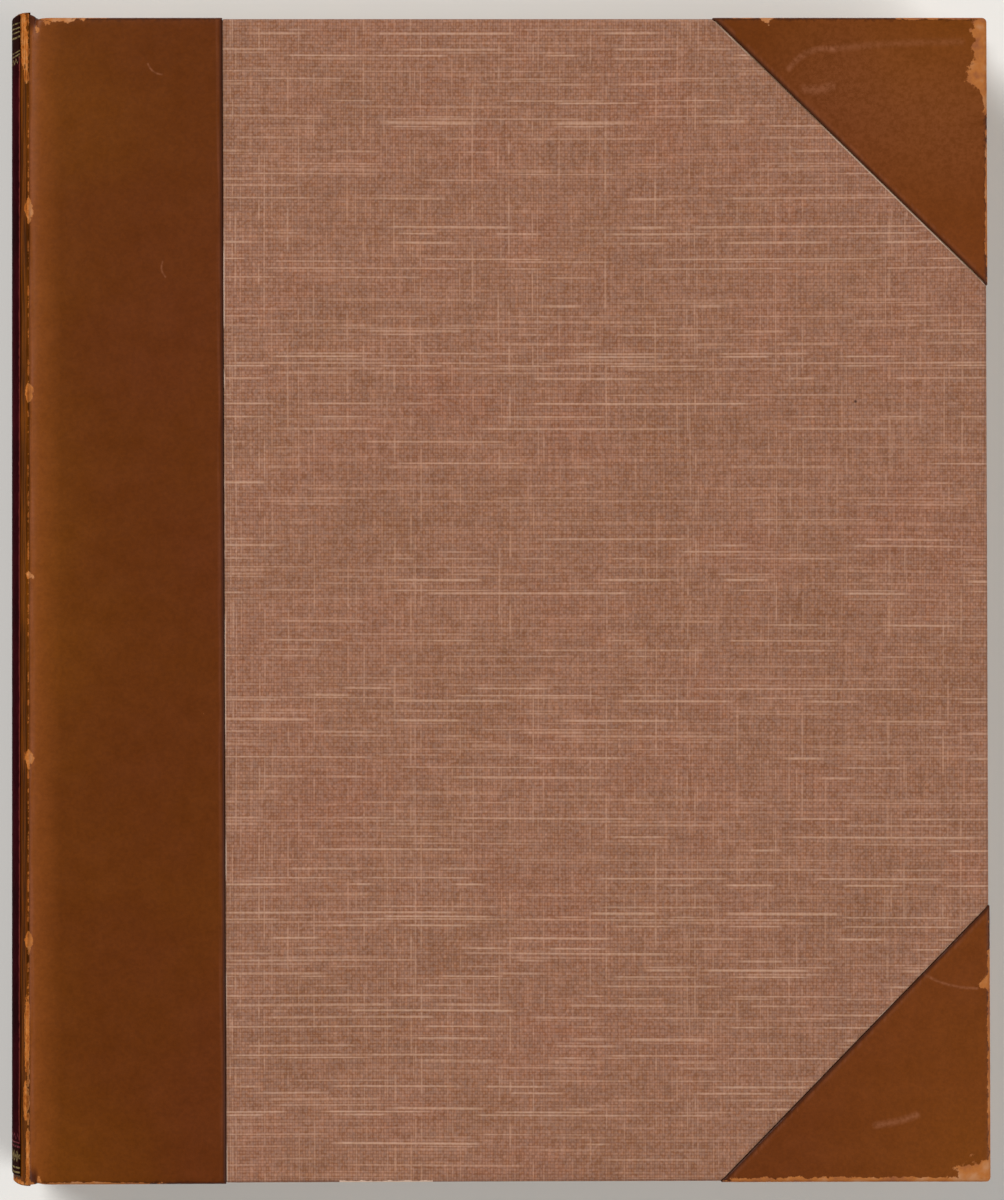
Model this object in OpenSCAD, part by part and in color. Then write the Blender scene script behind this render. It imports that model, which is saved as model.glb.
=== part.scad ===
// Half-leather quarto book: calf spine and corners, slubbed cloth sides, boards laced on, hollow back.
// It lies on its rear cover. +X runs from the spine to the fore-edge, +Y to the head, +Z to the front cover.
// The origin is the centre of the whole book's base.

/* [Covers] */
// Width of a cover, from its joint to the fore-edge
cover_w = 209; // [160:0.5:260]
// Height of a cover
cover_h = 254; // [220:0.5:320]
// Thickness of a board
board_t = 2.4; // [1.8:0.1:4]
// Radius of a board's bumped corner
corner_r = 1.2; // [0.4:0.1:3]
// Overhang of the covers past the leaves at head, tail and fore-edge
square_w = 3; // [2:0.1:5]

/* [Leather] */
// Thickness of the calf
leather_t = 0.7; // [0.5:0.05:0.9]
// Width of the spine leather on each cover
strip_w = 42; // [25:0.5:60]
// Length of a head corner along the head
head_corner_x = 60; // [30:0.5:80]
// Length of a head corner along the fore-edge
head_corner_y = 58.5; // [30:0.5:80]
// Length of a tail corner along the tail
tail_corner_x = 59; // [30:0.5:80]
// Length of a tail corner along the fore-edge
tail_corner_y = 60.5; // [30:0.5:80]
// Width of the turn-ins on the inside of a board
turn_in = 15; // [8:0.5:20]
// Thickness of the pared turn-ins
turn_t = 0.35; // [0.2:0.05:0.5]

/* [Cloth] */
// Thickness of the book cloth
cloth_t = 0.45; // [0.3:0.05:0.5]
// Width of the tooled groove between leather and cloth
seam_w = 0.35; // [0.1:0.05:0.8]

/* [Paper] */
// Thickness of the leaves, both flyleaves included
text_t = 22.4; // [16:0.1:34]
// Thickness of the endpapers
paper_t = 0.2; // [0.15:0.05:0.25]
// Margin of turn-in that shows round a pastedown
pastedown_margin = 4; // [2:0.5:7]

/* [Spine] */
// Bulge of the rounded leather past the shoulders
spine_rise = 4.4; // [4.2:0.1:6]
// Bulge of the leaves' rounded back past their shoulders
block_rise = 2.6; // [2.2:0.1:2.8]
// Height of the head cap past the covers
head_over = 1.1; // [0.3:0.1:2]
// Height of the tail cap past the covers
tail_over = 0.4; // [0.3:0.1:2]
// Depth of the caps over the end bands
cap_reach = 2.6; // [1.5:0.1:4]
// Width of the label round the spine
label_w = 24.4; // [12:0.1:26]
// Thickness of the label
label_t = 0.25; // [0.15:0.05:0.4]
// Distance from the label to the covers' head and tail
label_end_gap = 1; // [0.5:0.5:30]
// Thickness of the end bands
band_t = 1.6; // [1:0.1:2]

/* [Sewing] */
// Diameter of a sewing cord
cord_d = 1.4; // [1:0.1:1.8]
// Distance between two cords
cord_pitch = 39.8; // [25:0.1:44]
// Distance of the middle cord above mid-height
cord_mid = 5.6; // [-8:0.1:8]
// Length of a frayed cord end on its board
slip_len = 14; // [6:0.5:22]
// Width of a frayed cord end at its tip
slip_w = 7; // [3:0.5:12]
// Thickness of a frayed cord end
slip_t = 0.4; // [0.2:0.05:0.8]

/* [Joints] */
// Width of the shoulder's flat top beside a joint
shoulder_w = 0.6; // [0.5:0.1:1.5]
// Drop of the shoulder below the cover
shoulder_drop = 0.3; // [0.2:0.05:0.6]
// Gap in the leather at a joint, where it bends
joint_gap = 0.3; // [0.2:0.05:0.5]
// Distance from a joint to the board's edge
board_gap = 0.8; // [0.6:0.1:1.5]
// Width of the cut at a board's corner beside the cap
back_cut_x = 1.8; // [1:0.1:4]
// Height of the cut at a board's corner beside the cap
back_cut_y = 3; // [1.5:0.1:6]
// Gap between the closed covers and the leaves
leaf_gap = 0.15; // [0.1:0.05:0.3]

/* [Hidden] */
$fn = 96;
// Glue line between the layers of the spine
glue = 0.05;
// Paste and air between the leaves' shoulder and the leather
shoulder_air = 0.6;
// Thickness of the mull and paper glued to the leaves, and of one layer of the tube
lining_t = 0.3;
tube_t = 0.2;
// Overshoot of a cutting solid past the face that it cuts
cut = 1;
CORDS = 5;
CALF = "#683614";
CLOTH = "#966a54";
MAROON = "#4a0610";
PAPER = "#ddcfae";
BOARD = "#a08c66";
FLAX = "#b59f74";
SILK = "#8c5a3c";
KRAFT = "#a88456";

// Stack of a cover, from its outer face inwards
board_z = leather_t + board_t;
shell_t = board_z + turn_t;
cover_t = shell_t + paper_t;
book_t = text_t + 2 * (cover_t + leaf_gap);
mid_z = book_t / 2;
board_w = cover_w - board_gap - leather_t;
board_h = cover_h - 2 * leather_t;

// Radius of the arc that rises by rise over a chord of twice half
function arc_r(half, rise) = (half * half + rise * rise) / (2 * rise);

// Rounded leather, and the label on it
back_half = mid_z - shoulder_drop;
spine_r = arc_r(back_half, spine_rise);
label_r = spine_r + glue;
full_w = cover_w + shoulder_w + spine_rise + glue + label_t;
joint_x = full_w / 2 - cover_w;
back_x = joint_x - shoulder_w + spine_r - spine_rise;
leather_x = joint_x - joint_gap / 2;
cover_y = (tail_over - head_over) / 2;
label_angle = label_w / 2 / spine_r * 180 / PI;

// Leaves: a flatter arc than the leather's, which leaves room for the hollow
block_h = cover_h - 2 * square_w;
block_half = back_half - leather_t - shoulder_air;
block_r = arc_r(block_half, block_rise);
shoulder_x = leather_x - paper_t;
block_x = shoulder_x - block_rise + block_r;
fore_x = joint_x + cover_w - square_w;
lining_r = block_r + glue + lining_t;
lining_half = block_half * 0.8;
tube_half = block_half * 0.6;
cord_ring = block_r - glue - cord_d / 2;
// Angle to where a ring of inner radius r on the leaves' back meets the shoulder
function ring_angle(r) = acos((block_r - block_rise) / r);
function cord_y(i) = cover_y + cord_mid + (i - (CORDS - 1) / 2) * cord_pitch;

function numbered(stem) = [for (i = [1:CORDS]) str(stem, i)];
function cover_nodes(side) = concat(
    [for (part = ["board", "leather", "cloth", "head_corner", "tail_corner", "pastedown"])
        str(side, "_", part)],
    numbered(str(side, "_slip_")));

// A section in X and Z drawn along Y
module along_y(y_low, y_high)
    translate([0, y_high, 0]) rotate([90, 0, 0]) linear_extrude(y_high - y_low) children();

// A ring about the axis of the leaves' back, as far as an angle on both sides
module round_block(angle)
    translate([block_x, 0, mid_z]) rotate([-90, 0, 0]) rotate([0, 0, 180 - angle])
        rotate_extrude(angle = 2 * angle) children();

// A cover, drawn as the front one: joint at x 0, outer face at z 0, inner face below it
module on_side(side)
    if (side == "front") translate([joint_x, cover_y, book_t]) children();
    else translate([joint_x, cover_y, 0]) mirror([0, 0, 1]) children();

module disc(x, r)
    translate([x, mid_z]) circle(r, $fn = 180);

// Part of the section no further than half from its middle, and left of x_right
module clipped(half, x_right)
    intersection() {
        children();
        translate([-cover_w, mid_z - half]) square([x_right + cover_w, 2 * half]);
    }

// Leaves: one block, rounded and backed, with a kerf sawn across it for each cord
module text_block() color(PAPER)
    difference() {
        along_y(cover_y - block_h / 2, cover_y + block_h / 2)
            difference() {
                union() {
                    clipped(block_half + cut, shoulder_x) disc(block_x, block_r);
                    translate([shoulder_x - cut, mid_z - text_t / 2 + paper_t])
                        square([fore_x - shoulder_x + cut, text_t - 2 * paper_t]);
                }
                disc(fore_x + sqrt(block_r * block_r - text_t * text_t / 4), block_r);
            }
        for (i = [0:CORDS - 1]) translate([0, cord_y(i), 0]) kerf();
    }

module kerf()
    along_y(-cord_d / 2 - glue, cord_d / 2 + glue)
        clipped(block_half + cut, shoulder_x) difference() {
            disc(block_x, block_r + cut);
            disc(block_x, cord_ring - cord_d / 2 - glue);
        }

module sewing_cord(i) color(FLAX)
    translate([0, cord_y(i), 0]) round_block(ring_angle(cord_ring - cord_d / 2))
        translate([cord_ring, 0]) circle(cord_d / 2);

// Free endpaper: a leaf whose folded edge turns up the shoulder into the joint
module flyleaf(side) color(PAPER)
    on_side(side) translate([shoulder_x - joint_x, -block_h / 2, text_t / 2 - mid_z - paper_t]) {
        cube([fore_x - shoulder_x, block_h, paper_t]);
        cube([paper_t, block_h, block_half - text_t / 2 + paper_t]);
    }

module spine_lining() color(KRAFT)
    along_y(cover_y - block_h / 2 + square_w, cover_y + block_h / 2 - square_w)
        clipped(lining_half, shoulder_x) difference() {
            disc(block_x, lining_r);
            disc(block_x, lining_r - lining_t);
        }

// Flattened paper tube: one layer on the lining and one on the leather, joined at both sides
module hollow_tube() color(KRAFT)
    along_y(cover_y - cover_h / 2 + turn_in, cover_y + cover_h / 2 - turn_in)
        difference() {
            tube_layer(glue, tube_half);
            tube_layer(glue + tube_t, tube_half - tube_t);
        }

// Space between leather and lining, less a layer of thickness t on both
module tube_layer(t, half)
    clipped(half, shoulder_x) difference() {
        disc(back_x, spine_r - leather_t - t);
        disc(block_x, lining_r + t);
    }

// End band: a flat core with a round top, sewn along the end of the leaves' back
module end_band(height) color(SILK)
    round_block(ring_angle(block_r - band_t)) {
        translate([block_r - band_t, 0]) square([band_t, height - band_t / 2]);
        translate([block_r - band_t / 2, height - band_t / 2]) circle(band_t / 2);
    }

module head_band()
    translate([0, cover_y + block_h / 2, 0]) end_band(square_w + head_over - leather_t - glue);

module tail_band()
    translate([0, cover_y - block_h / 2, 0]) mirror([0, 1, 0])
        end_band(square_w + tail_over - leather_t - glue);

// Calf over the back, its turned-in ends, and the caps folded over the end bands
module spine_leather() color(CALF) {
    y_tail = cover_y - cover_h / 2 - tail_over;
    y_head = cover_y + cover_h / 2 + head_over;
    along_y(y_tail, y_head)
        difference() {
            leather_section(0, leather_x);
            leather_section(leather_t, leather_x + cut);
        }
    for (y = [y_tail, y_head - leather_t])
        along_y(y, y + leather_t)
            difference() {
                leather_section(0, leather_x - shoulder_w);
                disc(back_x, spine_r - cap_reach);
            }
    for (y = [y_tail, y_head - turn_in + leather_t])
        along_y(y, y + turn_in - leather_t)
            difference() {
                leather_section(leather_t / 2, leather_x - shoulder_w);
                disc(back_x, spine_r - leather_t - turn_t);
            }
}

// Section of the rounded leather, less a layer of thickness t
module leather_section(t, x_right)
    clipped(back_half - t, x_right) disc(back_x, spine_r - t);

module spine_label() color(MAROON)
    along_y(cover_y - cover_h / 2 + label_end_gap, cover_y + cover_h / 2 - label_end_gap)
        intersection() {
            difference() {
                disc(back_x, label_r + label_t);
                disc(back_x, label_r);
            }
            translate([back_x, mid_z])
                polygon([[0, 0], 2 * spine_r * [-cos(label_angle), sin(label_angle)],
                         2 * spine_r * [-cos(label_angle), -sin(label_angle)]]);
        }

// Plan of the board, grown at head, tail and fore-edge, with rounded fore corners and cut back corners
module board_plan(grow) {
    half = board_h / 2 + grow;
    r = corner_r + grow;
    x_fore = board_gap + board_w + grow;
    difference() {
        union() {
            translate([board_gap, -half]) square([x_fore - r - board_gap, 2 * half]);
            translate([board_gap, r - half]) square([x_fore - board_gap, 2 * (half - r)]);
            for (s = [-1, 1]) translate([x_fore - r, s * (half - r)]) circle(r);
        }
        for (s = [-1, 1]) back_cut(board_gap, s, half);
    }
}

// Triangle cut from a back corner whose edge is at x and whose end is at half the height
module back_cut(x, s, half)
    polygon([[x - cut, s * (half + cut)],
             [x - cut, s * (half - back_cut_y * (1 + cut / back_cut_x))],
             [x + back_cut_x * (1 + cut / back_cut_y), s * (half + cut)]]);

// Space that the board fills inside its covering
module board_space()
    translate([0, 0, -board_z]) linear_extrude(board_t) board_plan(0);

// Window between the turn-ins, less a margin, and grown down past them
module window_space(margin, x_left, z_top)
    translate([x_left, turn_in + margin - board_h / 2, -cover_t - cut])
        cube([board_gap + board_w - turn_in - margin - x_left, board_h - 2 * (turn_in + margin),
              cover_t + cut + z_top]);

module slip_plan(grow)
    polygon([[board_gap - 2 * grow, cord_d / 2 + grow],
             [board_gap + slip_len + grow, slip_w / 2 + grow],
             [board_gap + slip_len + grow, -slip_w / 2 - grow],
             [board_gap - 2 * grow, -cord_d / 2 - grow]]);

module board(side) color(BOARD)
    on_side(side) difference() {
        board_space();
        for (i = [0:CORDS - 1])
            translate([0, cord_y(i) - cover_y, -leather_t - slip_t - glue])
                linear_extrude(slip_t + glue + cut) slip_plan(glue);
    }

module slip(side, i) color(FLAX)
    on_side(side) translate([0, cord_y(i) - cover_y, -leather_t - slip_t])
        linear_extrude(slip_t) slip_plan(0);

// Sheet turned round the board's edges, in the shape of the 2D plan that it is given
module wrapped(side)
    on_side(side) difference() {
        translate([0, 0, -shell_t]) linear_extrude(shell_t) children();
        board_space();
        window_space(0, board_gap, -board_z);
    }

module cover_leather(side) color(CALF)
    difference() {
        wrapped(side) difference() {
            translate([joint_gap / 2, -cover_h / 2]) square([strip_w - joint_gap / 2, cover_h]);
            for (s = [-1, 1]) back_cut(joint_gap / 2, s, cover_h / 2);
        }
        on_side(side) translate([-cut, -cover_h, -shell_t - cut])
            cube([board_gap + cut, 2 * cover_h, board_t + turn_t + cut]);
    }

// Triangle of a corner piece, grown outwards past the board and by grow past its cut edge
module corner_region(x, y, s, grow) {
    side_grow = grow * sqrt(x * x + y * y);
    polygon([[cover_w + x / 4, s * (cover_h / 2 + y / 4)],
             [cover_w - x * 5 / 4 - side_grow / y, s * (cover_h / 2 + y / 4)],
             [cover_w + x / 4, s * (cover_h / 2 - y * 5 / 4 - side_grow / x)]]);
}

module corner(side, x, y, s) color(CALF)
    wrapped(side) intersection() {
        board_plan(leather_t);
        corner_region(x, y, s, 0);
    }

module cover_cloth(side) color(CLOTH)
    difference() {
        wrapped(side) difference() {
            board_plan(cloth_t);
            translate([-cut, -cover_h]) square([strip_w + seam_w + cut, 2 * cover_h]);
            corner_region(head_corner_x, head_corner_y, 1, seam_w);
            corner_region(tail_corner_x, tail_corner_y, -1, seam_w);
        }
        on_side(side) translate([0, -cover_h, cloth_t - leather_t])
            cube([cover_w + cut, 2 * cover_h, leather_t]);
    }

// Pasted endpaper: over the turn-ins, down to the board between them, and up into the joint
module pastedown(side) color(PAPER)
    on_side(side) {
        h = board_h - 2 * pastedown_margin;
        difference() {
            union() {
                translate([board_gap, -h / 2, -cover_t])
                    cube([board_w - pastedown_margin, h, paper_t]);
                translate([board_gap - paper_t, -h / 2, -cover_t])
                    cube([paper_t, h, cover_t - leather_t]);
                intersection() {
                    window_space(0, board_gap, -board_z);
                    translate([0, -h, -cover_t]) cube([cover_w, 2 * h, cover_t]);
                }
            }
            window_space(paper_t, -cut, -board_z - paper_t);
        }
    }

text_block();
spine_lining();
hollow_tube();
head_band();
tail_band();
spine_leather();
spine_label();
for (i = [0:CORDS - 1])
    sewing_cord(i);
for (side = ["front", "rear"]) {
    flyleaf(side);
    board(side);
    cover_leather(side);
    cover_cloth(side);
    corner(side, head_corner_x, head_corner_y, 1);
    corner(side, tail_corner_x, tail_corner_y, -1);
    pastedown(side);
    for (i = [0:CORDS - 1])
        slip(side, i);
}
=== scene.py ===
"""Antique half-leather quarto, closed, lying on its rear cover and seen from straight above.

Lengths are in millimetres in the code and become metres where a mesh or a node tree is made. X runs from the
spine to the fore-edge, Y to the head and Z from the rear cover to the front cover.
"""

import math

import bmesh
import bpy
import numpy as np
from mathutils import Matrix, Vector, noise


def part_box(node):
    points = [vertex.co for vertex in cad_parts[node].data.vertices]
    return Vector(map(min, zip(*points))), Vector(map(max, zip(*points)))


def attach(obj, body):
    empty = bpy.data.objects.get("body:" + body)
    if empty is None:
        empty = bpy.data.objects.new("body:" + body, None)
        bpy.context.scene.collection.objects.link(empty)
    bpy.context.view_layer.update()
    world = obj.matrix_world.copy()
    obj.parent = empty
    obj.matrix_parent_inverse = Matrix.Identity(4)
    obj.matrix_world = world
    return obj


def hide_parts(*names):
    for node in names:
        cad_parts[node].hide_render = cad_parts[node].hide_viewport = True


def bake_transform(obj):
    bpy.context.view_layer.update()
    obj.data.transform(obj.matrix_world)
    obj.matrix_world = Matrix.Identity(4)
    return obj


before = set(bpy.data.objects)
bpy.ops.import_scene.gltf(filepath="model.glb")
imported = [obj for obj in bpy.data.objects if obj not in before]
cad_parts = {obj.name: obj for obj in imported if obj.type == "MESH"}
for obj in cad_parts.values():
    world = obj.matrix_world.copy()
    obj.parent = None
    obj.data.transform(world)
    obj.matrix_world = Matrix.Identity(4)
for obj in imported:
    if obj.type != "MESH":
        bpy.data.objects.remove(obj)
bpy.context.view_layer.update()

bl_info = {
    "name": "Half-leather book",
    "version": (1, 0, 0),
    "blender": (4, 5, 0),
    "location": "3D View > Sidebar > Book",
    "description": "Calf, cloth, leaves, end bands and label of an antique half-leather book",
    "category": "Object",
}

MM = 0.001


def box(node):
    """Lowest and highest corner of a CAD node, in millimetres."""
    return [Vector(corner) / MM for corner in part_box(node)]


STRIP_LO, STRIP_HI = box("front_leather")
SPINE_LO, SPINE_HI = box("spine_leather")
BLOCK_LO, BLOCK_HI = box("text_block")
LABEL_LO, LABEL_HI = box("spine_label")

JOINT = STRIP_LO.x - 0.15
TOP = STRIP_HI.z
MID_Z = TOP / 2
MID_Y = (STRIP_LO.y + STRIP_HI.y) / 2
HALF_H = (STRIP_HI.y - STRIP_LO.y) / 2
FORE = box("front_head_corner")[1].x
# Height of the turn-ins on the board's inner face, and their width
TURN_Z = STRIP_LO.z
TURN_IN = 15.0
BOARD_HI = box("front_board")[1]

# Rounded leather of the spine: an arc that bulges past the shoulders
SHOULDER = JOINT - 0.6
BACK_HALF = (SPINE_HI.z - SPINE_LO.z) / 2
BACK_RISE = SHOULDER - SPINE_LO.x
SPINE_R = (BACK_HALF**2 + BACK_RISE**2) / (2 * BACK_RISE)
BACK_X = SPINE_LO.x + SPINE_R

# Thickness of leather and cloth, how far the cloth lies below the leather, and the gap between them
LEATHER = 0.7
CLOTH = 0.45
CLOTH_DROP = 0.25
SEAM = 0.06
# Rounding of a covered board's edges and of its corners, and how far a cut edge rolls down
EDGE_ROUND = 0.85
CORNER_ROUND = 1.0
CUT_ROLL = 0.27

# Place of each sewing cord along the spine, from tail to head, and how far each leather corner reaches along
# its end and the fore-edge
CORDS = [(box(f"sewing_cord_{i}")[0].y + box(f"sewing_cord_{i}")[1].y) / 2 for i in range(1, 6)]
HEAD_CORNER = (FORE - box("front_head_corner")[0].x, STRIP_HI.y - box("front_head_corner")[0].y)
TAIL_CORNER = (FORE - box("front_tail_corner")[0].x, box("front_tail_corner")[1].y - STRIP_LO.y)


def linear(code):
    """An sRGB hex colour as linear RGBA."""
    parts = [int(code[i : i + 2], 16) / 255 for i in (1, 3, 5)]
    return [p / 12.92 if p <= 0.04045 else ((p + 0.055) / 1.055) ** 2.4 for p in parts] + [1.0]


def smooth(t):
    """Smooth step from 0 to 1, for numbers and arrays."""
    t = np.clip(t, 0, 1)
    return t * t * (3 - 2 * t)


# Settings


def colour_setting(name, description, code):
    """A colour that the user can change."""
    return bpy.props.FloatVectorProperty(
        name=name, description=description, subtype="COLOR", size=4, default=linear(code)
    )


class CalfSettings(bpy.types.PropertyGroup):
    """Brown calf of the spine and the corners."""

    tan: colour_setting("Golden calf", "Calf where the dye is thin", "#643305")
    brown: colour_setting("Brown calf", "Main tone of the calf", "#5B2B06")
    red: colour_setting("Reddish calf", "Calf near its borders", "#5B2A0A")
    worn: colour_setting("Worn calf", "Bare leather where the surface is rubbed off", "#A6642F")
    groove: bpy.props.FloatProperty(
        name="Joint groove", description="Depth of the groove beside a shoulder, in mm",
        default=0.45, min=0.2, max=1.2
    )
    mesh_step: bpy.props.FloatProperty(
        name="Mesh step", description="Length of a face along the spine, in mm",
        default=1.2, min=0.6, max=5
    )


class ClothSettings(bpy.types.PropertyGroup):
    """Slubbed book cloth of the sides."""

    base: colour_setting("Cloth", "Main tone of the threads", "#9A6F57")
    gap: colour_setting("Gaps", "Dark gaps between threads", "#7D5341")
    slub: colour_setting("Slubs", "Pale thick threads", "#BA947C")
    warp_pitch: bpy.props.FloatProperty(
        name="Warp pitch", description="Distance between two warp threads, in mm",
        default=0.571, min=0.2, max=2
    )
    weft_pitch: bpy.props.FloatProperty(
        name="Weft pitch", description="Distance between two weft threads, in mm",
        default=0.691, min=0.2, max=2
    )


class LeavesSettings(bpy.types.PropertyGroup):
    """The block of leaves and its end bands."""

    gatherings: bpy.props.IntProperty(
        name="Slabs of leaves", description="Number of thin slabs that show as leaves",
        default=78, min=10, max=160
    )
    ragged: bpy.props.FloatProperty(
        name="Ragged edge", description="How far a slab's edge strays, in mm",
        default=0.16, min=0, max=1
    )
    paper: colour_setting("Paper", "Aged rag paper", "#DCCBA6")
    thread: bpy.props.FloatProperty(
        name="Band thread", description="Thickness of the silk on the end bands, in mm",
        default=0.48, min=0.2, max=1
    )


class StageSettings(bpy.types.PropertyGroup):
    """Floor, lamps and camera."""

    floor: colour_setting("Floor", "Plain pale floor", "#DDDBD7")
    backdrop: colour_setting("Backdrop", "Pale backdrop beyond the floor", "#E2E0DC")
    key: bpy.props.FloatProperty(
        name="Key lamp", description="Power of the soft box at the upper left",
        default=110.0, min=0, unit="POWER"
    )
    fill: bpy.props.FloatProperty(
        name="Fill lamp", description="Power of the soft box at the lower right",
        default=78.0, min=0, unit="POWER"
    )
    world: bpy.props.FloatProperty(
        name="World", description="Strength of the even light all round",
        default=0.16, min=0, max=4
    )
    camera_height: bpy.props.FloatProperty(
        name="Camera height", description="Height of the lens above the floor",
        default=1.0306, min=0.3, unit="LENGTH"
    )


# Nodes and meshes


# Inputs by index: Map Range has its value at 0, the range it comes from at 1 and 2, and the one it goes to at
# 3 and 4, which is 0 to 1 where none is given. Mix has its factor at 0, numbers at 2 and 3, and colours at 6
# and 7.
def add(tree, kind, inputs=(), stops=(), **settings):
    """Adds a node. Inputs, by name or index, are sockets, nodes or plain values; stops fill a colour ramp."""
    node = tree.nodes.new(kind)
    for name, value in settings.items():
        setattr(node, name, value)
    for place, colour in stops:
        ramp = node.color_ramp.elements
        element = ramp[0] if place == stops[0][0] else ramp[-1] if place == stops[-1][0] else ramp.new(place)
        element.position = place
        element.color = linear(colour) if isinstance(colour, str) else colour
    for name, value in dict(inputs).items():
        if isinstance(value, bpy.types.Node):
            mixes_colour = value.bl_idname == "ShaderNodeMix" and value.data_type == "RGBA"
            value = value.outputs[2 if mixes_colour else 0]
        if isinstance(value, bpy.types.NodeSocket):
            tree.links.new(value, node.inputs[name])
        else:
            node.inputs[name].default_value = value
    return node


def new_material(name):
    """Empty material, its tree, and a node that gives the object's own coordinates."""
    material = bpy.data.materials.new(name)
    material.use_nodes = True
    material.node_tree.nodes.clear()
    coords = add(material.node_tree, "ShaderNodeTexCoord")
    return material, material.node_tree, coords.outputs["Object"]


def finish_material(tree, height, strength, depth, inputs):
    """Ends a material in a Principled shader with these inputs, and a bump whose depth is in mm."""
    bump = add(tree, "ShaderNodeBump", {"Height": height, "Strength": strength, "Distance": depth * MM})
    surface = add(tree, "ShaderNodeBsdfPrincipled", {"Normal": bump, **inputs})
    add(tree, "ShaderNodeOutputMaterial", {"Surface": surface})


def from_middle(tree, split):
    """Distance from mid-height towards the head or the tail."""
    offset = add(tree, "ShaderNodeMath", {0: split.outputs["Y"], 1: -MID_Y * MM}, operation="ADD")
    return add(tree, "ShaderNodeMath", {0: offset}, operation="ABSOLUTE")


def new_object(name, vertices, faces, material, sharp=38, **values):
    """Mesh object from millimetres, smooth but for its sharp edges; values are attributes of its vertices."""
    mesh = bpy.data.meshes.new(name)
    mesh.from_pydata(np.asarray(vertices, float) * MM, [], faces)
    mesh.materials.append(material)
    mesh.shade_smooth()
    mesh.set_sharp_from_angle(angle=math.radians(sharp))
    for key, value in values.items():
        mesh.attributes.new(key, "FLOAT", "POINT").data.foreach_set("value", np.asarray(value, np.float32))
    obj = bpy.data.objects.new(name, mesh)
    bpy.context.scene.collection.objects.link(obj)
    return obj


def mirrored(vertices, faces):
    """The same piece on the rear cover, flat on the floor, and turned to point outwards again."""
    vertices = np.asarray(vertices, float).copy()
    vertices[:, 2] = np.maximum(TOP - vertices[:, 2], 0.02)
    return vertices, [tuple(reversed(face)) for face in faces]


# Rubbed places on the front: centre and half-size in mm, and strength
RUBBED = [
    # Head edge, from the joint to the corner
    (-94.9, 126.6, 3.6, 0.8, 1.0), (-98.0, 125.9, 0.7, 0.9, 0.9), (-88.0, 126.8, 5.5, 0.3, 0.8),
    (-100.3, 124.5, 0.4, 0.6, 0.85), (59.0, 126.2, 1.0, 1.1, 1.0), (56.6, 126.8, 4.5, 0.3, 0.9),
    (92.3, 126.7, 4.2, 0.5, 0.9), (100.0, 126.7, 5.0, 0.4, 1.0),
    # Fore-edge of the head corner
    (106.0, 121.5, 1.9, 4.6, 1.0), (105.7, 114.6, 2.2, 3.0, 1.0), (106.9, 110.5, 0.7, 3.0, 1.0),
    (106.8, 126.0, 1.5, 1.0, 1.0), (107.2, 86.0, 0.5, 15.0, 0.9),
    # Tail corner
    (81.0, -127.3, 27.0, 0.85, 1.0), (104.9, -125.9, 4.4, 2.8, 1.0), (107.5, -81.0, 0.9, 3.8, 0.95),
    (106.6, -84.0, 1.9, 1.0, 0.9), (107.2, -105.0, 0.6, 21.0, 0.95),
    # Tail edge beside the joint
    (-99.9, -126.9, 0.36, 1.2, 0.85), (-98.0, -127.6, 2.6, 0.6, 1.0), (-90.0, -127.3, 12.0, 0.4, 1.0),
    # Joint and spine, from the head down
    (-103.5, 124.4, 0.8, 2.9, 1.0), (-103.0, 119.6, 0.75, 3.6, 1.0), (-102.6, 114.6, 0.4, 2.6, 1.0),
    (-102.6, -94.5, 0.45, 6.5, 1.0), (-102.2, -104.0, 0.3, 20.0, 0.8), (-102.75, -109.2, 0.55, 3.8, 1.0),
    (-102.3, -121.0, 0.4, 5.0, 0.9), (-104.6, -127.9, 2.6, 1.0, 1.0),
]
# Half-height of the rubbed place over each cord, from tail to head
CORD_RUBS = [2.3, 2.1, 0.9, 2.4, 2.9]


def rubbed(points, rear=False):
    """How rubbed each point is: 1 inside a rubbed place, falling to 0 outside it."""
    points = np.asarray(points, float)
    x, y = points[:, 0], points[:, 1]
    places = RUBBED
    if rear:
        # The rear cover has worn in the same places, turned head to tail, and not to the same size
        places = [(px, 2 * MID_Y - py, w * 1.1, h * 0.9, s) for px, py, w, h, s in RUBBED]
    worn = np.zeros(len(points))
    for px, py, w, h, strength in places:
        distance = (np.abs((x - px) / w) ** 3 + np.abs((y - py) / h) ** 3) ** (1 / 3)
        worn = np.maximum(worn, strength * np.clip(1.45 - 0.75 * distance, 0, 1))
    for cord_y, h in zip(CORDS, CORD_RUBS):
        distance = np.abs(x - JOINT + 0.15) / 1.3 + np.abs(y - cord_y) / (h * 1.15)
        worn = np.maximum(worn, np.clip(1.5 - distance, 0, 1))
    # The ridge of the joint is worn all along
    ridge = np.clip(1.15 - np.abs(x - JOINT + 0.3) / 0.4, 0, 1) * 0.55
    return np.maximum(worn, ridge)


def out_of_square(points):
    """The covers as they are: the tail edge drops to the spine and the fore-edge leans out at the tail."""
    points = np.array(points, float)
    down = np.clip((MID_Y + HALF_H - points[:, 1]) / (2 * HALF_H), 0, 1)
    across = (points[:, 0] - JOINT) / (FORE - JOINT)
    # The tail edge is 0.3 mm low, and 0.95 at the spine, and the fore-edge leans out by 0.9
    points[:, 1] -= down * (0.3 + 0.65 * np.clip(1 - 1.1 * across, 0, 1) ** 1.3)
    points[:, 0] += 0.9 * down * smooth(across / 0.2)
    return points


def edge_distance(points):
    """Distance from the covered board's outer edges, in mm."""
    points = np.asarray(points, float)
    return np.minimum(FORE - points[:, 0], HALF_H - np.abs(points[:, 1] - MID_Y))


# Calf


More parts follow.
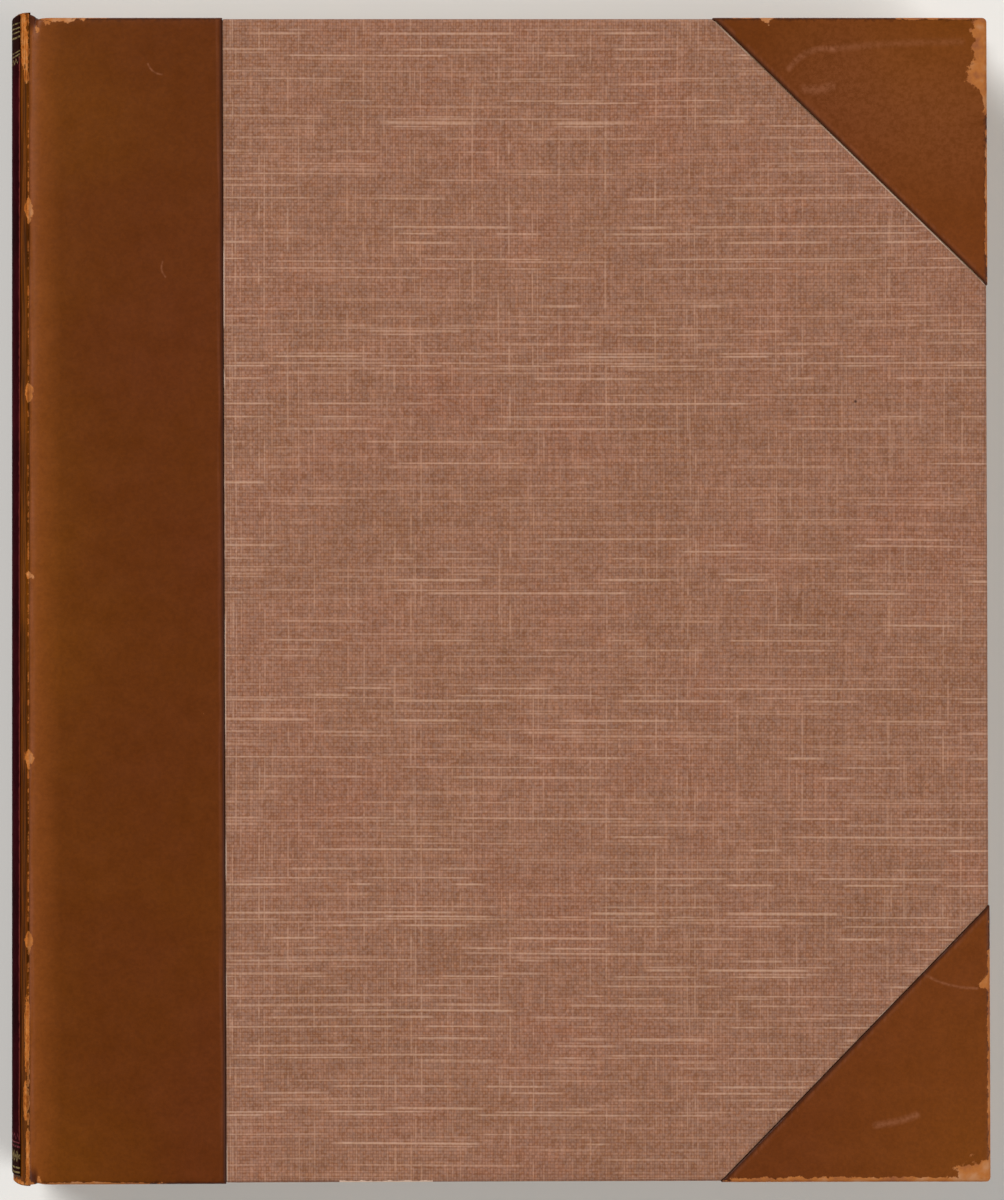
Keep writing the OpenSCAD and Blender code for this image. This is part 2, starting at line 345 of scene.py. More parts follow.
def stroke_group():
    """Node group: a bowed stroke between two points, 1 on its line and 0 a width away from it."""
    tree = bpy.data.node_groups.new("Scuff stroke", "ShaderNodeTree")
    for name, kind in (
        ("Point", "Vector"), ("From", "Vector"), ("To", "Vector"), ("Bow", "Float"), ("Width", "Float")
    ):
        tree.interface.new_socket(name, in_out="INPUT", socket_type=f"NodeSocket{kind}")
    tree.interface.new_socket("Mask", in_out="OUTPUT", socket_type="NodeSocketFloat")
    given = add(tree, "NodeGroupInput").outputs
    chord = add(tree, "ShaderNodeVectorMath", {0: given["To"], 1: given["From"]}, operation="SUBTRACT")
    offset = add(tree, "ShaderNodeVectorMath", {0: given["Point"], 1: given["From"]}, operation="SUBTRACT")
    along = add(tree, "ShaderNodeVectorMath", {0: offset, 1: chord}, operation="DOT_PRODUCT").outputs["Value"]
    square = add(tree, "ShaderNodeVectorMath", {0: chord, 1: chord}, operation="DOT_PRODUCT").outputs["Value"]
    share = add(tree, "ShaderNodeMath", {0: along, 1: square}, operation="DIVIDE", use_clamp=True)
    spare = add(tree, "ShaderNodeMath", {0: 1.0, 1: share}, operation="SUBTRACT")
    hump = add(tree, "ShaderNodeMath", {0: share, 1: spare}, operation="MULTIPLY")
    bow = add(tree, "ShaderNodeMath", {0: hump, 1: given["Bow"]}, operation="MULTIPLY")
    side = add(tree, "ShaderNodeVectorMath", {0: chord, 1: (0, 0, 1)}, operation="CROSS_PRODUCT")
    side = add(tree, "ShaderNodeVectorMath", {0: side}, operation="NORMALIZE")
    side = add(tree, "ShaderNodeVectorMath", {0: side, "Scale": bow}, operation="SCALE")
    foot = add(tree, "ShaderNodeVectorMath", {0: chord, "Scale": share}, operation="SCALE")
    foot = add(tree, "ShaderNodeVectorMath", {0: foot, 1: side}, operation="ADD")
    gap = add(tree, "ShaderNodeVectorMath", {0: offset, 1: foot}, operation="DISTANCE").outputs["Value"]
    mask = add(
        tree, "ShaderNodeMapRange", {0: gap, 1: given["Width"], 2: 0.0}, interpolation_type="SMOOTHSTEP"
    )
    add(tree, "NodeGroupOutput", {"Mask": mask})
    return tree


# Scuffs on the front cover: from, to, bow and width in mm, and strength
SCUFFS = [
    ((64.0, 115.5), (73.5, 119.8), -1.5, 1.1, 0.3), ((73.5, 119.8), (101.5, 121.3), -0.4, 1.3, 0.18),
    ((67.5, 111.0), (73.2, 111.6), 0.4, 1.7, 0.26), ((92.0, -81.3), (105.0, -85.3), 1.1, 0.5, 0.4),
    ((83.0, -115.2), (91.8, -113.0), 0.3, 1.2, 0.4), ((-76.0, 116.5), (-73.0, 114.2), 0.6, 0.35, 0.4),
    ((-72.8, 73.3), (-72.2, 70.0), 0.5, 0.35, 0.35), ((76.0, 112.0), (98.0, 104.0), 1.0, 24.0, 0.12),
]


def calf_material(settings):
    """Vegetable-tanned calf, dyed brown and polished: mottled, finely pored, bare tan where it is rubbed."""
    material, tree, coords = new_material("polished_brown_calf")
    given = {}
    for key in ("rub", "border", "edge"):
        given[key] = add(tree, "ShaderNodeAttribute", attribute_name=key).outputs["Fac"]
    split = add(tree, "ShaderNodeSeparateXYZ", {0: coords})

    # Dye mottling over 40 mm, reddish by the cut edges and golden far from them, and fine clouds over 6 mm
    cloud = add(tree, "ShaderNodeTexNoise", {"Vector": coords, "Scale": 25.0})
    inland = add(tree, "ShaderNodeMapRange", {0: given["border"], 1: 0.0, 2: 42.0, 3: -0.16, 4: 0.22})
    inland = add(tree, "ShaderNodeMath", {0: cloud, 1: 0.9, 2: inland}, operation="MULTIPLY_ADD")
    colour = add(
        tree, "ShaderNodeValToRGB", {0: inland},
        stops=[(0.24, settings.red), (0.46, settings.brown), (0.78, settings.tan)],
    )
    fine = add(
        tree, "ShaderNodeTexNoise", {"Vector": coords, "Scale": 170.0, "Detail": 3.0, "Roughness": 0.65}
    )
    fine_tone = add(tree, "ShaderNodeMapRange", {0: fine, 1: 0.3, 2: 0.7, 3: 0.94, 4: 1.06})
    # Hair pores are 0.1 mm and don't show, so the grain is drawn at 0.8 mm
    grain = add(
        tree, "ShaderNodeTexNoise", {"Vector": coords, "Scale": 1250.0, "Detail": 1.0, "Roughness": 0.7}
    )
    grain_tone = add(tree, "ShaderNodeMapRange", {0: grain, 1: 0.3, 2: 0.7, 3: 0.92, 4: 1.08})
    tone = add(tree, "ShaderNodeMath", {0: fine_tone, 1: grain_tone}, operation="MULTIPLY")

    # The spine is streaked along its length. A painted reflection lies on the joint as a mauve sheen, a
    # painted highlight makes the board paler beside it, on its rounded edge, and the calf is paler towards
    # the fore-edge
    across = split.outputs["X"]
    spine = add(
        tree, "ShaderNodeMapRange",
        {0: across, 1: (JOINT - 0.3) * MM, 2: (JOINT + 0.2) * MM, 3: 1.0, 4: 0.0},
    )
    lie = add(tree, "ShaderNodeVectorMath", {0: coords, 1: (1, 0.04, 1)}, operation="MULTIPLY")
    streak = add(tree, "ShaderNodeTexNoise", {"Vector": lie, "Scale": 1700.0, "Detail": 1.0})
    dark_streak = add(tree, "ShaderNodeMapRange", {0: streak, 1: 0.36, 2: 0.62, 3: 0.35, 4: 1.05})
    dark_streak = add(tree, "ShaderNodeMix", {0: spine, 2: 1.0, 3: dark_streak}, data_type="FLOAT")
    tone = add(tree, "ShaderNodeMath", {0: tone, 1: dark_streak}, operation="MULTIPLY")
    # Painted highlight on the board's rounded edge beside the joint, fading over 7 mm
    painted_highlight_by_joint = add(
        tree, "ShaderNodeMapRange", {0: across, 1: (JOINT + 0.6) * MM, 2: (JOINT + 7) * MM, 3: 0.5, 4: 0.0}
    )
    painted_highlight_by_joint = add(tree, "ShaderNodeMath", {0: painted_highlight_by_joint, 1: spine}, operation="SUBTRACT", use_clamp=True)
    # Paler towards the fore-edge
    paler_toward_fore = add(tree, "ShaderNodeMapRange", {0: across, 1: 0.03, 2: 0.09, 4: 0.24})
    paler = add(tree, "ShaderNodeMath", {0: painted_highlight_by_joint, 1: paler_toward_fore}, operation="MAXIMUM")
    colour = add(tree, "ShaderNodeMix", {0: paler, 6: colour, 7: linear("#88481A")}, data_type="RGBA")
    # Painted reflection: a mauve sheen on the joint's slope and along each cut edge, broken up by the streaks
    painted_sheen = add(tree, "ShaderNodeMapRange", {0: across, 1: (JOINT + 1.3) * MM, 2: (JOINT + 0.5) * MM})
    painted_sheen = add(tree, "ShaderNodeMath", {0: painted_sheen, 1: spine}, operation="SUBTRACT", use_clamp=True)
    sheen_at_border = add(tree, "ShaderNodeMapRange", {0: given["border"], 1: 1.5, 2: 1.1, 4: 0.6})
    painted_sheen = add(tree, "ShaderNodeMath", {0: painted_sheen, 1: sheen_at_border}, operation="MAXIMUM")
    patchy = add(tree, "ShaderNodeMapRange", {0: streak, 1: 0.35, 2: 0.65, 4: 0.3})
    painted_sheen = add(tree, "ShaderNodeMath", {0: painted_sheen, 1: patchy}, operation="MULTIPLY")
    colour = add(tree, "ShaderNodeMix", {0: painted_sheen, 6: colour, 7: linear("#84503C")}, data_type="RGBA")
    colour = add(tree, "ShaderNodeMix", {0: 1.0, 6: colour, 7: tone}, data_type="RGBA", blend_type="MULTIPLY")

    # Scuffs, broken up by the grain
    flat = add(tree, "ShaderNodeVectorMath", {0: coords, 1: (1, 1, 0)}, operation="MULTIPLY")
    stroke = stroke_group()
    scuffs = 0.0
    for start, end, bow, width, strength in SCUFFS:
        mark = add(tree, "ShaderNodeGroup", node_tree=stroke)
        tree.links.new(flat.outputs[0], mark.inputs["Point"])
        for name, value in (("From", start), ("To", end)):
            mark.inputs[name].default_value = (value[0] * MM, value[1] * MM, 0)
        # The stroke's hump is a quarter at its middle
        mark.inputs["Bow"].default_value = bow * MM * 4
        mark.inputs["Width"].default_value = width * MM
        scuffs = add(tree, "ShaderNodeMath", {0: mark, 1: strength, 2: scuffs}, operation="MULTIPLY_ADD")
    on_front = add(tree, "ShaderNodeMath", {0: split.outputs["Z"], 1: MID_Z * MM}, operation="GREATER_THAN")
    scuffs = add(tree, "ShaderNodeMath", {0: scuffs, 1: on_front}, operation="MULTIPLY")
    broken = add(tree, "ShaderNodeMapRange", {0: grain, 1: 0.35, 2: 0.62, 3: 0.35, 4: 1.0})
    scuffs = add(tree, "ShaderNodeMath", {0: scuffs, 1: broken}, operation="MULTIPLY", use_clamp=True)
    colour = add(tree, "ShaderNodeMix", {0: scuffs, 6: colour, 7: linear("#955E40")}, data_type="RGBA")

    # Painted shade in the dip between cap and board
    from_mid = from_middle(tree, split)
    recess_shade = add(
        tree, "ShaderNodeMapRange", {0: from_mid, 1: (HALF_H - 3.4) * MM, 2: (HALF_H - 1.0) * MM, 4: 0.75}
    )
    by_joint = add(tree, "ShaderNodeMapRange", {0: across, 1: (JOINT + 2.0) * MM, 2: (JOINT + 1.2) * MM})
    by_joint = add(tree, "ShaderNodeMath", {0: by_joint, 1: spine}, operation="SUBTRACT", use_clamp=True)
    recess_shade = add(tree, "ShaderNodeMath", {0: recess_shade, 1: by_joint}, operation="MULTIPLY")
    colour = add(tree, "ShaderNodeMix", {0: recess_shade, 6: colour, 7: linear("#3C1A12")}, data_type="RGBA")

    # Painted shade: a dark line along each cut edge and round the board's rounded rim
    line = add(tree, "ShaderNodeMapRange", {0: given["border"], 1: 0.85, 2: 0.3, 4: 0.8})
    strayed = add(tree, "ShaderNodeMath", {0: grain, 1: 1.2, 2: given["edge"]}, operation="MULTIPLY_ADD")
    rim = add(tree, "ShaderNodeMapRange", {0: strayed, 1: 1.5, 2: 0.7, 4: 0.7})
    dark = add(tree, "ShaderNodeMath", {0: line, 1: rim}, operation="MAXIMUM")
    colour = add(tree, "ShaderNodeMix", {0: dark, 6: colour, 7: linear("#34160A")}, data_type="RGBA")

    # Rubbed places with ragged borders
    ragged = add(
        tree, "ShaderNodeTexNoise", {"Vector": coords, "Scale": 480.0, "Detail": 4.0, "Roughness": 0.7}
    )
    worn = add(tree, "ShaderNodeMath", {0: ragged, 1: 2.0, 2: given["rub"]}, operation="MULTIPLY_ADD")
    worn = add(tree, "ShaderNodeMapRange", {0: worn, 1: 1.52, 2: 1.62})
    bare = add(
        tree, "ShaderNodeValToRGB", {0: fine},
        stops=[(0.35, "#8C5230"), (0.5, settings.worn), (0.66, "#AE7850")],
    )
    orange = add(
        tree, "ShaderNodeValToRGB", {0: ragged.outputs[0]},
        stops=[(0.34, "#BE7E48"), (0.5, "#AE662B"), (0.62, "#8E4A1A")],
    )
    creased = add(tree, "ShaderNodeMapRange", {0: streak, 1: 0.36, 2: 0.56, 3: 0.55, 4: 1.04})
    orange = add(
        tree, "ShaderNodeMix", {0: 1.0, 6: orange, 7: creased}, data_type="RGBA", blend_type="MULTIPLY"
    )
    bare = add(tree, "ShaderNodeMix", {0: spine, 6: bare, 7: orange}, data_type="RGBA")
    colour = add(tree, "ShaderNodeMix", {0: worn, 6: colour, 7: bare}, data_type="RGBA")

    # The polish is satin, dull where it is rubbed or scuffed, and gone from the spine
    dull = add(tree, "ShaderNodeMath", {0: worn, 1: scuffs}, operation="MAXIMUM")
    satin = add(tree, "ShaderNodeMapRange", {0: fine, 1: 0.3, 2: 0.7, 3: 0.38, 4: 0.48})
    rough = add(tree, "ShaderNodeMix", {0: dull, 2: satin, 3: 0.85}, data_type="FLOAT")
    gloss = add(tree, "ShaderNodeMix", {0: spine, 2: 0.1, 3: 0.01}, data_type="FLOAT")
    inputs = {"Base Color": colour, "Roughness": rough, "Specular IOR Level": gloss}
    finish_material(tree, grain, 0.3, 0.08, inputs)
    return material


# Ends of the calf, from the tip of the turn-in to the outer face: distance from the end and depth, in mm.
# The first two are for the skin on a board and the last two for the cap over an end band.
BOARD_END = [
    (15, 3.45), (8, 3.45), (2.5, 3.45), (0.9, 3.45), (0.26, 3.19), (0, 2.55), (0, 1.7), (0, 0.9),
    (0.12, 0.45), (0.42, 0.12), (0.9, 0), (2, 0), (4, 0),
]
BOARD_LINING = [
    (15, 3.1), (8, 3.1), (2.5, 3.1), (1.1, 3.1), (0.72, 2.95), (0.7, 2.55), (0.7, 1.7), (0.7, 1.05),
    (0.72, 0.85), (0.85, 0.72), (1.1, 0.7), (2, 0.7), (4, 0.7),
]
CAP_END = [
    (15.4, 1.05), (8, 1.05), (3, 1.05), (1.5, 1.15), (0.95, 1.5), (0.75, 2.1), (0.6, 2.5), (0.3, 2.65),
    (0.02, 2.2), (0, 1.2), (0.05, 0.42), (0.35, 0.04), (2.2, 0),
]
CAP_LINING = [
    (15.4, 0.72), (8, 0.72), (3, 0.72), (1.6, 0.74), (0.6, 0.95), (0.45, 1.6), (0.42, 2.1), (0.38, 2.3),
    (0.34, 2.1), (0.33, 1.3), (0.45, 0.85), (0.95, 0.7), (2.2, 0.7),
]
# Depth of a cap's turn-in and of its deepest point, and where the calf's cut edge on the board begins
CAP_TURN = 1.05
CAP_DEEP = 2.65
CUT_EDGE = 41.3


def calf_section(groove):
    """Outer line of the calf, from its cut edge on the board to mid-spine: x, z, and x from the joint."""
    # Distance from the joint and depth below the top: cut edge, flat board, groove and ridge of the joint
    line = [(42.0, 0.3), (41.88, 0.13), (41.7, 0.03), (41.4, 0.0), (40.5, 0.0)]
    line += [(s, 0.0) for s in np.arange(39.0, 6.5, -2.2)]
    line += [(6.0, 0.0), (4.6, 0.01), (3.4, 0.03), (2.7, 0.05), (2.3, 0.07), (1.95, 0.1), (1.6, 0.15)]
    line += [(1.3, 0.21), (1.1, 0.26), (0.95, 0.3), (0.85, 0.325), (0.66, 0.83 * groove)]
    line += [(0.46, 0.95 * groove), (0.26, groove), (0.08, 0.88 * groove), (-0.08, 0.68 * groove)]
    line += [(-0.22, 0.27), (-0.38, 0.25), (-0.54, 0.31), (-0.7, 0.45), (-0.81, 0.62)]
    points = [(JOINT + s, TOP - drop, s) for s, drop in line]
    for degrees in [32.2, 31.2, 29.8, 28.2, 26.4, 24.4, 22, 19, 16, 13, 10, 7, 4.5, 2, 0]:
        a = math.radians(degrees)
        x = BACK_X - SPINE_R * math.cos(a)
        points.append((x, MID_Z + SPINE_R * math.sin(a), x - JOINT))
    return points


def end_height(s, over, fall):
    """Distance from mid-height to the calf's end: a cap that falls to the joint, and a notch by the board."""
    cap = np.array([1, 0.96, 0.85, 0.75, 0.66, 0.4, 0.15]) ** fall * over
    steps = [-5.0, -2.5, -1.2, -0.5, 0.0, 0.4, 0.8, 1.2, 1.8, 2.6, 3.6]
    return HALF_H + float(np.interp(s, steps, [*cap, -0.2, -0.25, -0.1, 0]))


def end_dip(s, end_gap):
    """How far the calf sinks into the recess between cap and board, where the board's corner is cut back."""
    return 0.75 * math.exp(-(((s - 0.85) / 0.8) ** 2)) * float(smooth((4.2 - end_gap) / 3.6))


def calf_mesh(settings):
    """Closed skin of calf on the front: over the board, down the joint's groove and round to mid-spine."""
    section = calf_section(settings.groove)
    # The head cap has risen over its band, and the tail cap, which the book has stood on, is squashed flat
    caps = {"tail": (0.6, 2.5), "head": (SPINE_HI.y - MID_Y - HALF_H + 0.4, 1.0)}
    # The rows of both ends take up 4 mm each
    count = int((HALF_H * 2 - 8) / settings.mesh_step)
    rings = []
    for i, (x, z, s) in enumerate(section):
        before, after = section[max(i - 1, 0)], section[min(i + 1, len(section) - 1)]
        run = Vector((after[0] - before[0], after[1] - before[1])).normalized()
        at_cut = s > CUT_EDGE
        inward = Vector((0, -1)) if at_cut else Vector((-run.y, run.x))
        on_board = s > 0.9
        # Near the joint there is less room behind a cap
        reach = max(CAP_TURN, min(CAP_DEEP, (JOINT - 0.5 - x) / max(inward.x, 0.3)))
        paths = []
        for board_line, cap_line in ((BOARD_END, CAP_END), (BOARD_LINING, CAP_LINING)):
            path = []
            for end, sign in (("tail", -1), ("head", 1)):
                h = end_height(s, *caps[end])
                rows = []
                for gap, depth in board_line if on_board else cap_line:
                    if not on_board and depth > CAP_TURN:
                        depth = CAP_TURN + (depth - CAP_TURN) * (reach - CAP_TURN) / (CAP_DEEP - CAP_TURN)
                    rows.append((MID_Y + sign * (h - gap), depth))
                path.append(rows)
            tail, head = path
            depth = tail[-1][1]
            middle = [(y, depth) for y in np.linspace(tail[-1][0], head[-1][0], count + 2)[1:-1]]
            paths.append(tail + middle + head[::-1])
        ring = []
        for outer, path in zip((True, False), paths):
            points = []
            for y, depth in path:
                # The calf stands a little over each cord, and its outer face isn't quite flat
                lift = 0.0
                for cord_y in CORDS:
                    lift += 0.22 * math.exp(-(((y - cord_y) / 2.6) ** 2) - ((s + 0.3) / 1.2) ** 2)
                end_gap = HALF_H - abs(y - MID_Y)
                if outer and depth < 0.05:
                    waver = noise.noise((x * 0.12, y * 0.05, 3.1)) * 0.07
                    waver += noise.noise((x * 0.6, y * 0.35, 7.7)) * 0.035
                    lift += waver * min(1.0, end_gap / 6 + 0.2)
                if outer and depth < 1.6:
                    lift -= end_dip(s, end_gap) * (1 - depth / 1.6)
                step = depth - lift
                if outer and at_cut:
                    step = min(step, LEATHER)
                points.append((x + inward.x * step, y, z + inward.y * step))
            ring.append(points)
        size = len(ring[0])
        rings.append(ring[0] + ring[1])
    vertices = [p for ring in rings for p in ring]
    faces = []
    for i in range(len(rings) - 1):
        a, b = i * 2 * size, (i + 1) * 2 * size
        for k in range(size - 1):
            faces.append((a + k, a + k + 1, b + k + 1, b + k))
            faces.append((a + size + k + 1, a + size + k, b + size + k, b + size + k + 1))
        for k in (0, size - 1):
            quad = (a + k, b + k, b + size + k, a + size + k)
            faces.append(quad if k == 0 else quad[::-1])
    for i in (0, len(rings) - 1):
        a = i * 2 * size
        for k in range(size - 1):
            quad = (a + k, a + size + k, a + size + k + 1, a + k + 1)
            faces.append(quad if i == 0 else quad[::-1])
    return np.array(vertices), faces


def facing_out(vertices, faces):
    """The same faces, turned round if the closed shell's volume is negative."""
    p = np.asarray(vertices)
    volume = 0.0
    for face in faces:
        for k in range(1, len(face) - 1):
            volume += np.dot(p[face[0]], np.cross(p[face[k]], p[face[k + 1]]))
    return faces if volume > 0 else [tuple(reversed(face)) for face in faces]


# Sheets round the boards


def slice_through(bm, point, normal, **clear):
    """Cuts the faces on a plane, and clears one side of it where that is asked."""
    bmesh.ops.bisect_plane(
        bm, geom=bm.verts[:] + bm.edges[:] + bm.faces[:], dist=1e-4, plane_co=point, plane_no=normal, **clear
    )


def climb(edge):
    """How far an edge goes up or down."""
    return abs(edge.verts[0].co.z - edge.verts[1].co.z)


def covered_board(x_from, inset):
    """Outer surface of a covered front board, open on the side of the joint."""
    bm = bmesh.new()
    lo = Vector((x_from, STRIP_LO.y + inset, TURN_Z))
    hi = Vector((FORE - inset, STRIP_HI.y - inset, TOP - inset))
    bmesh.ops.create_cube(bm, size=1)
    for v in bm.verts:
        v.co = Vector([(lo[i] + hi[i]) / 2 + v.co[i] * (hi[i] - lo[i]) for i in range(3)])
    upright = [e for e in bm.edges if min(v.co.x for v in e.verts) > hi.x - 0.01 and climb(e) > 1]
    bmesh.ops.bevel(bm, geom=upright, offset=CORNER_ROUND - inset, segments=4, profile=0.5, affect="EDGES")
    rims = [e for e in bm.edges if max(v.co.x for v in e.verts) > lo.x + 0.01 and climb(e) < 0.01]
    bmesh.ops.bevel(bm, geom=rims, offset=EDGE_ROUND, segments=4, profile=0.5, affect="EDGES")
    open_side = [f for f in bm.faces if max(v.co.x for v in f.verts) < lo.x + 0.01]
    bmesh.ops.delete(bm, geom=open_side, context="FACES")
    return bm


def corner_line(end):
    """A corner's cut edge, as a point on it and the unit vector from it towards the corner."""
    w, h = HEAD_CORNER if end == "head" else TAIL_CORNER
    sign = 1 if end == "head" else -1
    point = Vector((FORE - w, MID_Y + sign * HALF_H, 0))
    return point, Vector((h, sign * w, 0)).normalized()


def thickened(bm, wall):
    """Gives an open surface its thickness inwards, closes its rims, and returns vertices and faces."""
    bm.normal_update()
    inner = {v: bm.verts.new(v.co - v.normal * wall[v]) for v in bm.verts[:]}
    rims = [e.link_loops[0] for e in bm.edges if e.is_boundary]
    for face in bm.faces[:]:
        bm.faces.new([inner[v] for v in reversed(face.verts)])
    for loop in rims:
        a, b = loop.vert, loop.link_loop_next.vert
        bm.faces.new((b, a, inner[a], inner[b]))
    bm.verts.index_update()
    vertices = np.array([v.co for v in bm.verts])
    faces = [tuple(v.index for v in f.verts) for f in bm.faces]
    bm.free()
    return vertices, faces


def sheet_mesh(inset, thickness, x_from, keep, cuts, fine, coarse):
    """Sheet wrapped round the board with its turn-ins.

    Keep and cuts are planes, as point and normal. What is before a keep plane stays, and what is behind a cut
    plane stays. Fine and coarse are the distances between its rows, by the fore-edge and elsewhere.
    """
    bm = covered_board(x_from, inset)
    for point, normal in keep:
        slice_through(bm, point, normal, clear_inner=True)
    for point, normal in cuts:
        slice_through(bm, point, normal, clear_outer=True)
    borders = [(p, n) for p, n in keep] + [(p, -n) for p, n in cuts]
    for row in (0.14, 0.32, 0.7, 1.4):
        for point, normal in borders:
            slice_through(bm, point + normal * row, normal)
    xs = [v.co.x for v in bm.verts]
    ys = [v.co.y for v in bm.verts]
    # The turn-ins leave a window of bare board on the inner face
    window_x, window_y = BOARD_HI.x - TURN_IN, BOARD_HI.y - TURN_IN - MID_Y
    lines = [window_x, FORE - 1.6, FORE - 2.4, FORE - 3.4]
    lines += list(np.arange(min(xs) + coarse, max(xs) - 5, coarse))
    lines += list(np.arange(max(xs) - 4.8, max(xs) - 10, -fine))
    for x in lines:
        if min(xs) < x < max(xs):
            slice_through(bm, (x, 0, 0), (1, 0, 0))
    lines = [MID_Y + s * window_y for s in (-1, 1)]
    lines += [MID_Y + s * (HALF_H - d) for s in (-1, 1) for d in (1.6, 2.4, 3.4, 4.8)]
    lines += list(np.arange(min(ys) + 6, max(ys) - 6, coarse))
    for y in lines:
        if min(ys) < y < max(ys):
            slice_through(bm, (0, y, 0), (0, 1, 0))
    window = [
        f for f in bm.faces
        if max(v.co.z for v in f.verts) < TURN_Z + 0.01
        and f.calc_center_median().x < window_x
        and abs(f.calc_center_median().y - MID_Y) < window_y
    ]
    bmesh.ops.delete(bm, geom=window, context="FACES")
    bmesh.ops.remove_doubles(bm, verts=bm.verts[:], dist=1e-3)
    bm.normal_update()
    wall = {}
    for v in bm.verts:
        # The sheet's cut edges roll down, and its face isn't quite flat
        gap = min((v.co - p).dot(n) for p, n in borders)
        roll, waver = 0.0, 0.0
        if v.co.z > TURN_Z + 0.5:
            near = max(0.0, 1 - gap / 0.32)
            roll = CUT_ROLL * (1 - math.sqrt(max(0.0, 1 - near**2)))
        if v.co.z > TOP - inset - 0.01:
            waver = noise.noise((v.co.x * 0.06, v.co.y * 0.05, 1.7)) * 0.06
        # The turn-ins are pared thin
        wall[v] = (thickness if v.co.z > TURN_Z + 0.3 else 0.35) - roll
        v.co += v.normal * (waver - roll)
    return thickened(bm, wall)


def border_distance(points, borders):
    """Distance of each point from the nearest cut edge, in mm."""
    return np.min([(np.asarray(points) - np.array(p)) @ np.array(n) for p, n in borders], axis=0)


# Operators


def dressed(name, vertices, faces, material, body, slot, nodes, **values):
    """Makes a piece, puts it on its body and in place of its CAD nodes."""
    obj = new_object(name, vertices, faces, material, **values)
    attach(obj, body)
    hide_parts(*nodes)
    return obj


class BOOK_OT_calf(bpy.types.Operator):
    """Calf of the spine and of the covers' corners"""

    bl_idname = "book.calf"
    bl_label = "Calf"

    def execute(self, context):
        settings = context.scene.book_calf
        material = calf_material(settings)
        vertices, faces = calf_mesh(settings)
        faces = facing_out(vertices, faces)
        for side, body in (("front", "front_cover"), ("rear", "rear_cover")):
            rear = side == "rear"
            co, loops = mirrored(vertices, faces) if rear else (vertices, faces)
            border = STRIP_HI.x - co[:, 0]
            on_spine = co[:, 0] < JOINT + 1
            edge = np.where(on_spine, 9.0, HALF_H - np.abs(co[:, 1] - MID_Y))
            skin = new_object(
                f"calf_{side}", out_of_square(co), loops, material, rub=rubbed(co, rear), border=border,
                edge=edge,
            )
            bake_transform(skin)
            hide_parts(f"{side}_leather", "spine_leather")
            for end in ("head", "tail"):
                w = (HEAD_CORNER if end == "head" else TAIL_CORNER)[0]
                cut = [corner_line(end)]
                co, loops = sheet_mesh(0.0, LEATHER, FORE - w - 2, cut, [], 1.0, 1.2)
                if rear:
                    co, loops = mirrored(co, loops)
                dressed(
                    f"calf_{end}_corner_{side}", out_of_square(co), loops, material, body, "brown_calf",
                    [f"{side}_{end}_corner"], rub=rubbed(co, rear),
                    border=border_distance(co, cut), edge=edge_distance(co),
                )
        return {"FINISHED"}


